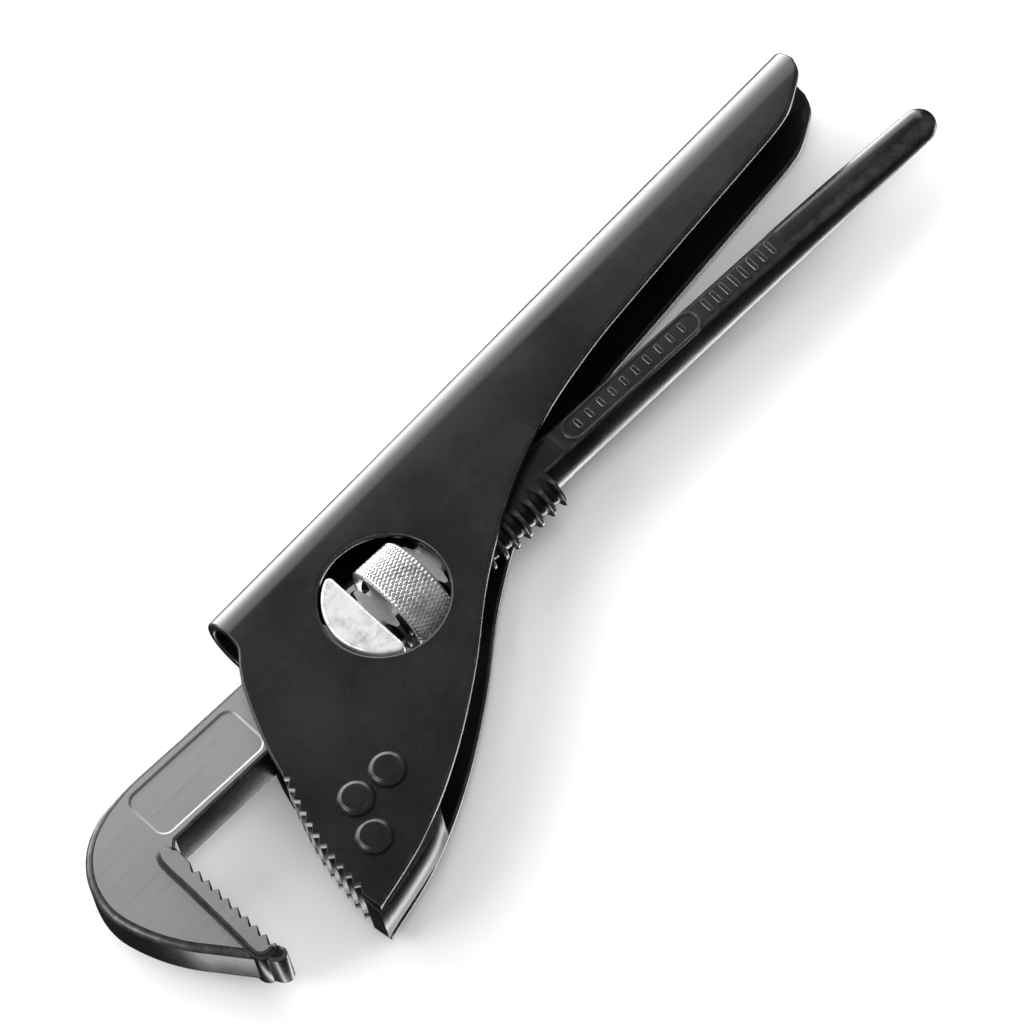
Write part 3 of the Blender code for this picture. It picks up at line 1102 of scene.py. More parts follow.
@dataclass
class FoldedFrame:
    """The folded sheet: upper handle, cheeks and windows.

    Attributes:
        sheet: Thickness of the sheet.
        head_width: Width over both cheeks.
        handle_width: Width over both sides of the handle.
        flare: Where the width starts and ends changing, along X.
        spine_y: Outermost line of the fold.
        front_x: Where the fold starts.
        end_x: Where the handle ends.
        window_radius: Radius of the round windows.
        rim: Rounding of the sheet's edges.
        row_step: Spacing of the rows of points along X.
        fold_columns: Columns of points over half the fold.
        side_columns: Columns of points down each side.
        side_step: Spacing of those columns.
        clear: How far the points keep from every outline.
        margins: How far the first and the last row keep from the ends.
        end_step: Spacing of points along the two straight ends.
        window_steps: Points round a window.
        teeth: The fixed jaw's teeth.
        tooth_count: How many there are.
        tooth_rim: Share of the rim along the teeth.
        tooth_line: Line through their crests, from the top down.
        front_edge: The cheek's front edge, from the fold down to the first tooth.
        lower_edge: The lower edge, from the last tooth back along the handle.
        handle_tip: The round end of that edge.
    """

    sheet: float = 2.3
    head_width: float = 18.4
    handle_width: float = 21.6
    flare: tuple[float, float] = (26.0, 100.0)
    spine_y: float = 29.8
    front_x: float = -30.8
    end_x: float = 161.9
    window_radius: float = 15.7
    rim: Rim = Rim(0.75, 0.75)
    row_step: float = 3.0
    fold_columns: int = 20
    side_columns: int = 15
    side_step: float = 5.0
    clear: float = 1.7
    margins: tuple[float, float] = (2.2, 1.6)
    end_step: float = 0.7
    window_steps: int = 120
    teeth: Teeth = Teeth()
    tooth_count: int = 11
    tooth_rim: float = 0.3
    tooth_line: Points = ((-48.8, -14.4), (-52.6, -23.2), (-55.4, -31.2), (-57.5, -41.3), (-58.9, -51.8))
    front_edge: Points = ((-30.8, 21.2), (-31.8, 17.1), (-35.2, 13.2), (-38.2, 8.9), (-42.4, 1.2),
                          (-46.5, -7.7), (-48.8, -14.4))
    lower_edge: Points = ((-58.2, -55.3), (-38.4, -50.4), (-19.2, -41.8), (0.0, -29.8), (19.2, -15.4),
                          (38.4, -4.3), (57.6, 2.9), (76.8, 6.6), (96.0, 8.4), (144.0, 12.1))
    handle_tip: Points = ((144.0, 12.1), (150.7, 13.3), (156.5, 16.3), (160.2, 19.0), (161.9, 22.4))

    def half_width(self, x: np.ndarray) -> np.ndarray:
        """Half the width over both sides, which eases from the head's to the handle's along the flare.

        Args:
            x: Places along the frame.

        Returns:
            Half the width there.
        """
        share = ease((x - self.flare[0]) / (self.flare[1] - self.flare[0]))
        return (self.head_width + (self.handle_width - self.head_width) * share) / 2

    def unfolded(self, side: np.ndarray) -> np.ndarray:
        """Side-view points laid out on the flat sheet.

        Args:
            side: Side-view points.

        Returns:
            x, and the distance round the sheet from the spine: an arc while above the fold's centre, and
            then a straight run down.
        """
        x, y = side[:, 0], side[:, 1]
        half = self.half_width(x)
        radius = half - self.sheet / 2
        rise = y - (self.spine_y - half)
        around = radius * np.arccos(np.clip(rise / radius, 0.0, 1.0)) - np.minimum(rise, 0.0)
        return np.stack((x, around), axis=1)

    def folded(self, flat: np.ndarray, height: np.ndarray) -> np.ndarray:
        """Points of the flat sheet bent round the spine.

        The first stretch each way from the spine is a quarter circle about the fold's centre, and what is
        left goes straight down. The height is added to the radius, or outwards on the straight side.

        Args:
            flat: Points on the flat sheet.
            height: Their heights over the middle of the sheet.

        Returns:
            The points in space.
        """
        x, around = flat[..., 0], flat[..., 1]
        half = self.half_width(x)
        radius = half - self.sheet / 2
        turn = np.clip(around / radius, -QUARTER, QUARTER)
        beyond = np.maximum(np.abs(around) - radius * QUARTER, 0.0)
        y = self.spine_y - half + (radius + height) * np.cos(turn) - beyond
        z = (radius + height) * np.sin(turn)
        return np.stack((x, y, z), axis=-1)

    def toothed_front(self) -> np.ndarray:
        """The cutting edge, from its first crest down to the tip."""
        return self.teeth.along(smooth_run(self.tooth_line, 6), self.tooth_count)

    def outline(self) -> Outline:
        """Outline of the flat sheet: one side, the handle's end, the other side, and the front end.

        Returns:
            The outline, with a small rim along the teeth.
        """
        side = [(smooth_run(self.front_edge, 8), 1.0), (self.toothed_front(), self.tooth_rim),
                (smooth_run(self.lower_edge, 14), 1.0), (smooth_run(self.handle_tip, 6), 1.0)]
        upper = [(self.unfolded(run), share) for run, share in side]
        lower = [(run[::-1] * (1, -1), share) for run, share in reversed(upper)]
        end_reach, front_reach = upper[-1][0][-1, 1], upper[0][0][0, 1]
        end = straight_run(((self.end_x, end_reach), (self.end_x, -end_reach)), self.end_step)
        front = straight_run(((self.front_x, -front_reach), (self.front_x, front_reach)), self.end_step)
        return Outline.joined(*upper, (end, 1.0), *lower, (front, 1.0))

    def seeds(self, loops: Sequence[np.ndarray]) -> np.ndarray:
        """Points inside the sheet, in rows along X, close together over the fold.

        Args:
            loops: Outlines that the points keep clear of.

        Returns:
            The points on the flat sheet.
        """
        rows = np.arange(self.front_x + self.margins[0], self.end_x - self.margins[1], self.row_step)
        reach = (self.half_width(rows) - self.sheet / 2) * QUARTER
        over = np.linspace(0.0, 1.0, self.fold_columns + 1)
        down = np.arange(1, self.side_columns + 1) * self.side_step
        columns = np.concatenate((reach[:, None] * over, reach[:, None] + down), axis=1)
        both = np.concatenate((columns, -columns[:, 1:]), axis=1)
        places = np.stack((np.broadcast_to(rows[:, None], both.shape), both), axis=-1).reshape(-1, 2)
        places = places[inside(places, loops)]
        rim_points = np.vstack(loops)
        nearest = np.min(np.linalg.norm(places[:, None] - rim_points[None], axis=2), axis=1)
        return places[nearest > self.clear]

    def skin(self) -> Skin:
        """The whole sheet with its two windows.

        Returns:
            The skin.
        """
        window = arc((0.0, 0.0), self.window_radius, ring_angles(self.window_steps))
        upper = self.unfolded(window)
        outlines = [self.outline(), Outline.plain(upper), Outline.plain(upper * (1, -1))]
        seeds = self.seeds([outline.points for outline in outlines])
        return plate(outlines, self.sheet / 2, self.rim, self.folded, seeds)

    def build(self, place: Place, finish: bpy.types.Material) -> None:
        """Make the frame's piece.

        Args:
            place: Where it lies.
            finish: Its finish.
        """
        role = Role("frame", "black_enamel", "frame_shell")
        make_piece("folded_frame", self.skin(), place.on_frame, [finish], role)


@dataclass
class FixedJaw:
    """The toothed block between the cheeks.

    Attributes:
        front: The frame, whose cutting edge it shares.
        half: Half its thickness.
        rim: Its chamfer.
        tooth_rim: Share of the chamfer along the teeth.
        back_rim: Share of it along the back.
        bottom: Its lower edge.
        back: Its hidden back.
    """

    front: FoldedFrame
    half: float = 6.6
    rim: Rim = Rim(1.0, 1.1, RimShape.CHAMFER, 8)
    tooth_rim: float = 0.22
    back_rim: float = 0.6
    bottom: Points = ((-59.0, -55.7), (-38.6, -51.2), (-31.2, -48.2))
    back: Points = ((-31.2, -48.2), (-26.2, -40.0), (-26.2, -29.2), (-33.0, -24.0), (-45.2, -13.8))

    def skin(self) -> Skin:
        """The block: chamfered below, nearly sharp at the teeth.

        Returns:
            The skin.
        """
        outline = Outline.joined((self.front.toothed_front(), self.tooth_rim),
                                 (smooth_run(self.bottom, 8), 1.0),
                                 (straight_run(self.back, 2.0), self.back_rim))
        return plate([outline], self.half, self.rim)

    def build(self, place: Place, finish: bpy.types.Material) -> None:
        """Make the jaw's piece.

        Args:
            place: Where it lies.
            finish: Its finish.
        """
        role = Role("frame", "black_oxide", "fixed_jaw")
        make_piece("jaw_block", self.skin(), place.on_frame, [finish], role)


@dataclass
class Rivets:
    """Three rivets with a flat disc on a sloping rim at both ends.

    Attributes:
        places: Node name, and place in x and y.
        pin_radius: Radius of the pin.
        seat: Height of the cheek's face over the middle.
        profile: Radius, height over the seat, and edge value, from the middle of the head to its foot; the
            edge value sets where the enamel paints wear and a painted highlight.
        steps: Steps round a rivet.
        sharp: Turn in degrees beyond which its edges stay sharp.
    """

    places: tuple[tuple[str, float, float], ...] = (
        ("rivet_front", -42.0, -31.8), ("rivet_rear", -31.9, -32.2), ("rivet_lower", -46.3, -41.9))
    pin_radius: float = 3.1
    seat: float = 9.22
    profile: tuple[tuple[float, float, float], ...] = (
        (0.0, 1.50, 0.0), (1.5, 1.50, 0.0), (3.0, 1.50, 0.0), (3.25, 1.49, 0.2), (3.42, 1.42, 0.9),
        (3.50, 1.34, 1.0), (3.60, 1.30, 0.3), (3.75, 1.27, 0.4), (4.10, 0.98, 0.3), (4.42, 0.62, 0.4),
        (4.56, 0.40, 0.6), (4.60, 0.18, 0.2), (4.60, 0.0, 0.0))
    steps: int = 72
    sharp: float = 50.0

    def build(self, place: Place, finish: bpy.types.Material) -> None:
        """Make each rivet's piece.

        Args:
            place: Where it lies.
            finish: Its finish.
        """
        radius, rise, edge = np.array((*self.profile, (self.pin_radius, 0.0, 0.0))).T
        height = self.seat + rise
        both = [np.append(half, mirrored) for half, mirrored in
                ((radius, radius[::-1]), (height, -height[::-1]), (edge, edge[::-1]))]
        for node, x, y in self.places:
            role = Role("frame", "black_enamel", node)
            skin = turned((x, y), *both, self.steps)
            make_piece(node + "_heads", skin, place.on_frame, [finish], role, self.sharp)


# --------------------------------------------------------------------------------------------------------
# Block and nut
# --------------------------------------------------------------------------------------------------------


@dataclass
class PivotBlock:
    """The half-round block that rocks in the windows, with a slot for the shank.

    Attributes:
        radius: Radius of its round side.
        flat_x: Where its flat side is.
        half: Half its thickness.
        rim: Rounding of its edges.
        slot: Half the slot's height in y and in z.
        slot_corner: Radius of the slot's corners.
        slot_past: How far the slot's cutter stands out past the round side and past the flat.
        corner: Radius between the round side and the flat.
        round_steps: Points on the round side.
        corner_steps: Points on each corner.
    """

    radius: float = 14.9
    flat_x: float = -5.2
    half: float = 9.0
    rim: Rim = Rim(0.7, 0.7)
    slot: tuple[float, float] = (9.9, 6.5)
    slot_corner: float = 0.8
    slot_past: tuple[float, float] = (2.0, 4.0)
    corner: float = 1.3
    round_steps: int = 70
    corner_steps: int = 8

    def outline(self) -> Outline:
        """An arc a little smaller than the window, cut off by the flat, with both corners rounded.

        The corners' centres lie a corner radius inside both the arc and the flat.

        Returns:
            The outline.
        """
        x = self.flat_x - self.corner
        y = (self.radius - self.corner) * math.sin(math.acos(x / (self.radius - self.corner)))
        turn = math.atan2(y, x)
        back = arc((0.0, 0.0), self.radius, np.linspace(turn, FULL_TURN - turn, self.round_steps))
        low = arc((x, -y), self.corner, np.linspace(FULL_TURN - turn, FULL_TURN, self.corner_steps)[1:])
        high = arc((x, y), self.corner, np.linspace(0.0, turn, self.corner_steps)[:-1])
        return Outline.plain(np.vstack((back, low, high)))

    def walls(self) -> Skin:
        """The block's slot as a box with rounded corners, which runs through it along X.

        Returns:
            The skin.
        """
        height, thick = self.slot
        ring = round_box((-height, -thick), (height, thick), self.slot_corner)
        ends = np.array([-self.radius - self.slot_past[0], self.flat_x + self.slot_past[1]])
        rows = np.stack(np.broadcast_arrays(ends[:, None], ring[:, 0], ring[:, 1]), axis=-1)
        skin = Skin()
        skin.add(rows, grid_faces(2, len(ring), closed=True))
        skin.cap(rows[0])
        skin.cap(rows[1])
        return skin

    def build(self, place: Place, finish: bpy.types.Material) -> None:
        """Make the block, and cut its slot.

        Args:
            place: Where it lies.
            finish: Its finish.
        """
        role = Role("pivot_block", "bright_zinc", "pivot_block")
        block = make_piece("rocking_block", plate([self.outline()], self.half, self.rim), place.on_lever,
                           [finish], role)
        cutter = make_piece("slot_cutter", self.walls(), place.on_lever, [finish], role)
        cut = block.modifiers.new("slot", "BOOLEAN")
        cut.operation = "DIFFERENCE"
        cut.solver = "EXACT"
        cut.object = cutter
        bpy.context.view_layer.update()
        mesh = bpy.data.meshes.new_from_object(block.evaluated_get(bpy.context.evaluated_depsgraph_get()))
        block.modifiers.clear()
        block.data = mesh
        bpy.data.objects.remove(cutter, do_unlink=True)
        mesh.set_sharp_from_angle(angle=math.radians(SHARP))


@dataclass(frozen=True)
class Thread:
    """The right-hand screw thread that shank and nut share.

    Attributes:
        pitch: Distance between turns.
        crest: Radius over the crests.
        root: Radius in the roots.
        crest_share: Share of half a pitch that the crest's flat takes.
        root_share: Share of half a pitch at which the root's flat starts.
    """

    pitch: float = 3.85
    crest: float = 9.4
    root: float = 7.75
    crest_share: float = 0.16
    root_share: float = 0.70

    def radius(self, x: np.ndarray, angle: np.ndarray) -> np.ndarray:
        """Radius of the thread's surface.

        The phase is x over the pitch less the angle's share of a turn. The radius eases from crest to root
        with the distance of the phase from the nearest whole number.

        Args:
            x: Places along the screw.
            angle: Angles round it.

        Returns:
            The radius at each.
        """
        phase = x / self.pitch - angle / FULL_TURN
        away = 2 * np.abs(phase - np.round(phase))
        share = ease((self.root_share - away) / (self.root_share - self.crest_share))
        return self.root + (self.crest - self.root) * share


@dataclass
class Nut:
    """The adjusting nut: diamond knurl outside, thread inside, and a countersink at both mouths.

    Attributes:
        thread: The screw's thread.
        radius: Radius over the knurl.
        span: Where it starts and ends along X.
        chamfer: Chamfer of its outer edges.
        mouth: Radius of the countersink at the end faces.
        bore_gap: Clearance to the screw.
        knurls: Knurl lines round the nut, each way.
        knurl_depth: Depth of the knurl.
        knurl_slant: Slant of the knurl lines from the axis, in degrees.
        knurl_flat: How many times steeper the grooves are than would just meet the crests.
        steps: Steps round the nut.
        outer_rows: Rows of points over the knurl.
        bore_rows: Rows of points along the bore.
        countersink: How deep the countersinks are.
        end_edges: How much of an edge each point of an end is.
        sharp: Turn in degrees beyond which its edges stay sharp.
    """

    thread: Thread
    radius: float = 12.5
    span: tuple[float, float] = (-0.8, 11.0)
    chamfer: float = 0.8
    mouth: float = 10.9
    bore_gap: float = 0.32
    knurls: int = 68
    knurl_depth: float = 0.42
    knurl_slant: float = 30.0
    knurl_flat: float = 2.2
    steps: int = 476
    outer_rows: int = 84
    bore_rows: int = 40
    countersink: float = 1.2
    end_edges: tuple[float, ...] = (0.5, 0.9, 0.3, 0.3, 0.9, 0.2)
    sharp: float = 62.0

    def knurl(self, x: np.ndarray, angle: np.ndarray) -> np.ndarray:
        """Radius of the knurled surface.

        Two sets of straight-sided grooves wind opposite ways. Each is a triangle wave of the turn plus or
        minus x times the slant's tangent, and the higher of the two waves sets the height.

        Args:
            x: Places along the nut.
            angle: Angles round it.

        Returns:
            The radius at each.
        """
        slide = x * math.tan(math.radians(self.knurl_slant)) / self.radius
        waves = [1 - 2 * np.abs((self.knurls * (angle + side * slide) / FULL_TURN) % 1.0 - 0.5)
                 for side in (1, -1)]
        height = 1 - np.maximum(*waves)
        return self.radius - self.knurl_depth * (1 - np.minimum(1.0, self.knurl_flat * height))

    def skin(self) -> Skin:
        """The nut as one closed grid: a ring of rows over its outside, ends and bore, turned about X.

        Returns:
            The skin.
        """
        start, end = self.span
        angle = ring_angles(self.steps)[None, :]
        ones = np.ones_like(angle)
        outside = np.linspace(start + self.chamfer, end - self.chamfer, self.outer_rows)[:, None]
        inner = self.radius - self.chamfer
        side = np.array([(self.radius - 0.45, 0.42), (inner, 0.06), (inner - 0.12, 0.0),
                         (self.mouth + 0.12, 0.0), (self.mouth, 0.05), (self.thread.crest + 0.5, 1.0)])
        bore = np.linspace(start + self.countersink, end - self.countersink, self.bore_rows)[:, None]
        threaded = self.thread.radius(bore, angle) + self.bore_gap
        far = side[:, :1] * ones
        radius = np.concatenate((self.knurl(outside, angle), far, threaded[::-1], far[::-1]))
        x = np.concatenate((outside, end - side[:, 1:], bore[::-1], start + side[::-1, 1:])) * ones
        points = np.stack((x, radius * np.cos(angle), radius * np.sin(angle)), axis=-1)
        points = np.concatenate((points, points[:1]))
        edges = np.concatenate((np.zeros(self.outer_rows), self.end_edges, np.zeros(self.bore_rows),
                                self.end_edges[::-1], [0.0]))
        skin = Skin()
        skin.add(points, grid_faces(len(points), self.steps, closed=True), 0, edges[:, None])
        return skin

    def build(self, place: Place, finish: bpy.types.Material) -> None:
        """Make the nut's piece.

        Args:
            place: Where it lies.
            finish: Its finish.
        """
        role = Role("nut", "bright_zinc", "adjusting_nut")
        make_piece("knurled_nut", self.skin(), place.on_lever, [finish], role, self.sharp)


# --------------------------------------------------------------------------------------------------------
# Hook lever
# --------------------------------------------------------------------------------------------------------


@dataclass
class Hook:
    """The hook and its shank: ground faces, black walls, a recessed panel, and a raised row of teeth.

    Attributes:
        half: Half the shank's thickness.
        rim: Rounding of the hook's edges.
        shank_rim: Share of the rim along the shank's top.
        widens: Where the rim starts to widen towards the hook, and over what length.
        outer: The hook's back, from the shank's top round to its tip.
        tip: The blunt tip under the teeth.
        throat: The inner corner between the teeth and the shank.
        shank: The shank's lower line and end.
        seat: The line hidden inside the tooth pad.
        panel: Lowest and highest corner of the recessed panel.
        panel_radius: Radius of its corners.
        panel_depth: How deep it is.
        panel_lip: Half the width of the step round it.
        black_tip: Corner beyond which the tip has the walls' finish, in x and y.
        pad_rim: The pad's sloping side.
        pad_half: Half the thickness over the pad.
        pad_shares: Share of the pad's side along the teeth, and round its two ends.
        pad_back: The pad's outline from the top of the teeth round to its back.
        pad_foot: Its outline from there to the bottom of the teeth.
        tooth_line: Line through the crests, from the bottom up.
        tooth_count: How many teeth there are.
        teeth: The teeth.
    """

    half: float = 6.2
    rim: Rim = Rim(2.0, 1.5, RimShape.ROUND, 7)
    shank_rim: float = 0.45
    widens: tuple[float, float] = (-68.0, 16.0)
    outer: Points = ((-34.0, 9.5), (-55.0, 9.5), (-77.4, 9.5), (-86.1, 7.8), (-93.0, 3.4), (-97.7, -3.4),
                     (-99.5, -12.0), (-97.6, -21.3), (-93.7, -30.1), (-87.9, -38.7), (-81.8, -47.4))
    tip: Points = ((-81.8, -47.4), (-80.6, -49.4), (-79.0, -50.2), (-77.5, -49.6), (-76.9, -48.3),
                   (-77.4, -46.9))
    seat: Points = ((-77.6, -46.4), (-80.4, -45.6), (-79.9, -14.6), (-77.9, -12.6))
    throat: Points = ((-77.6, -12.0), (-77.0, -10.4), (-75.4, -8.9))
    shank: Points = ((-75.4, -8.9), (-34.0, -8.1))
    panel: tuple[tuple[float, float], tuple[float, float]] = ((-77.0, -6.6), (-43.8, 7.0))
    panel_radius: float = 2.8
    panel_depth: float = 0.4
    panel_lip: float = 0.22
    black_tip: tuple[float, float] = (-82.0, -45.8)
    pad_rim: Rim = Rim(1.5, 1.9, RimShape.CHAMFER, 8)
    pad_half: float = 7.9
    pad_shares: tuple[float, float] = (0.14, 0.9)
    pad_back: Points = ((-77.4, -12.6), (-76.9, -10.9), (-77.5, -9.1), (-79.3, -8.0), (-81.4, -8.6),
                        (-82.6, -10.9), (-82.9, -14.0))
    pad_foot: Points = ((-83.8, -42.8), (-83.6, -45.4), (-82.2, -47.1), (-80.2, -47.6), (-78.6, -47.5))
    tooth_line: Points = ((-78.0, -46.74), (-77.4, -12.6))
    tooth_count: int = 9
    teeth: Teeth = Teeth()

    def body(self) -> Skin:
        """The hook's plate, with its panel. The rim widens from the shank to the hook.

        Returns:
            The skin.
        """
        outer = smooth_run(self.outer, 8)
        end = (self.outer[0], self.shank[-1])
        wide = ease((self.widens[0] - outer[:, 0]) / self.widens[1])
        outline = Outline.joined((outer, self.shank_rim + (1 - self.shank_rim) * wide),
                                 (smooth_run(self.tip, 5), 0.5), (straight_run(self.seat, 2.0), 0.2),
                                 (smooth_run(self.throat, 4), 0.35), (straight_run(self.shank, 3.0), 0.35),
                                 (straight_run(end[::-1], 2.0), 0.4))
        panel = Pocket(round_box(*self.panel, self.panel_radius), self.panel_depth, self.panel_lip)
        skin = plate([outline], self.half, self.rim, pockets=[panel])
        x, y = self.black_tip
        skin.paint(lambda middle: (middle[:, 1] < y) & (middle[:, 0] > x), 1)
        return skin

    def pad(self) -> Skin:
        """The raised pad, which carries the teeth through the hook's whole thickness.

        Returns:
            The skin.
        """
        saw = self.teeth.along(np.array(self.tooth_line), self.tooth_count)
        top = straight_run((tuple(saw[-1]), self.tooth_line[-1]), 1.5)
        back = straight_run((self.pad_back[-1], self.pad_foot[0]), 2.0)
        small, large = self.pad_shares
        outline = Outline.joined((saw, small), (top, small), (smooth_run(self.pad_back, 4), large),
                                 (back, 1.0), (smooth_run(self.pad_foot, 4), large))
        return plate([outline], self.pad_half, self.pad_rim)

    def build(self, place: Place, faces: bpy.types.Material, walls: bpy.types.Material) -> None:
        """Make the hook's two pieces.

        Args:
            place: Where they lie.
            faces: Finish of the ground faces.
            walls: Finish of the walls.
        """
        for name, skin in (("hook_jaw", self.body()), ("hook_teeth", self.pad())):
            make_piece(name, skin, place.on_lever, [faces, walls], LEVER_ROLE)


@dataclass
class Screw:
    """The screw between the shank and the lever: a round thread with two flat sides.

    Attributes:
        thread: Its thread.
        half: Half the distance between the flats.
        span: Where it starts and ends along X.
        ground_to: Where the ground finish of the flats ends.
        rows_per_turn: Rows of points in each pitch.
        round_steps: Steps across each round side.
        flat_steps: Steps across each flat.
        corner_rounds: How often the step that finds a corner is repeated.
        edge_width: Width of the crests' edge, which the finishes paint with wear and a painted highlight.
        sharp: Turn in degrees beyond which its edges stay sharp.
    """

    thread: Thread
    half: float = 6.2
    span: tuple[float, float] = (-36.5, 48.0)
    ground_to: float = 22.0
    rows_per_turn: int = 20
    round_steps: int = 26
    flat_steps: int = 6
    corner_rounds: int = 12
    edge_width: float = 0.35
    sharp: float = 40.0

    def corner(self, x: np.ndarray, side: float, sign: float) -> np.ndarray:
        """Angle at which the thread meets a flat.

        The angle's sine is half the flats' distance over the radius there, found by repeating that step.

        Args:
            x: Places along the screw.
            side: Middle angle of the round side, 0 or half a turn.
            sign: Which end of the round side, 1 or -1.

        Returns:
            The angles.
        """
        angle = np.full_like(x, side + sign * 0.8)
        for _ in range(self.corner_rounds):
            angle = side + sign * np.arcsin(self.half / self.thread.radius(x, angle))
        return angle

    def skin(self) -> Skin:
        """A grid of rows along X: two round sides on the thread, and straight lines over the flats.

        Returns:
            The skin.
        """
        count = round((self.span[1] - self.span[0]) / self.thread.pitch * self.rows_per_turn) + 1
        x = np.linspace(*self.span, count)
        across = np.linspace(0.0, 1.0, self.round_steps + 1)[None, :]
        sides = []
        for side in (0.0, math.pi):
            low, high = self.corner(x, side, -1.0)[:, None], self.corner(x, side, 1.0)[:, None]
            angle = low + (high - low) * across
            radius = self.thread.radius(x[:, None], angle)
            sides.append(np.stack((radius * np.cos(angle), radius * np.sin(angle)), axis=-1))
        flat_share = (np.arange(1, self.flat_steps) / self.flat_steps)[None, :, None]
        flats = [start[:, -1:] + (end[:, :1] - start[:, -1:]) * flat_share
                 for start, end in ((sides[0], sides[1]), (sides[1], sides[0]))]
        section = np.concatenate((sides[0], flats[0], sides[1], flats[1]), axis=1)
        points = np.concatenate((np.broadcast_to(x[:, None, None], (*section.shape[:2], 1)), section), axis=2)
        away = np.hypot(section[..., 0], section[..., 1])
        # Painted highlight and wear along the crests, through the edge value.
        edge = 0.8 * ease((away - self.thread.crest + self.edge_width) / self.edge_width)
        faces = grid_faces(*section.shape[:2], closed=True)
        on_flat = faces[:, 0] % section.shape[1] % (section.shape[1] // 2) >= self.round_steps
        skin = Skin()
        skin.add(points, faces, np.where(on_flat, 0, 1), edge)
        skin.cap(points[0], 1)
        skin.cap(points[-1], 1)
        skin.paint(lambda middle: middle[:, 0] > self.ground_to, 1)
        return skin

    def build(self, place: Place, flats: bpy.types.Material, rounds: bpy.types.Material) -> None:
        """Make the screw's piece.

        Args:
            place: Where it lies.
            flats: Finish of the flats.
            rounds: Finish of the round sides.
        """
        make_piece("shank_screw", self.skin(), place.on_lever, [flats, rounds], LEVER_ROLE, self.sharp)


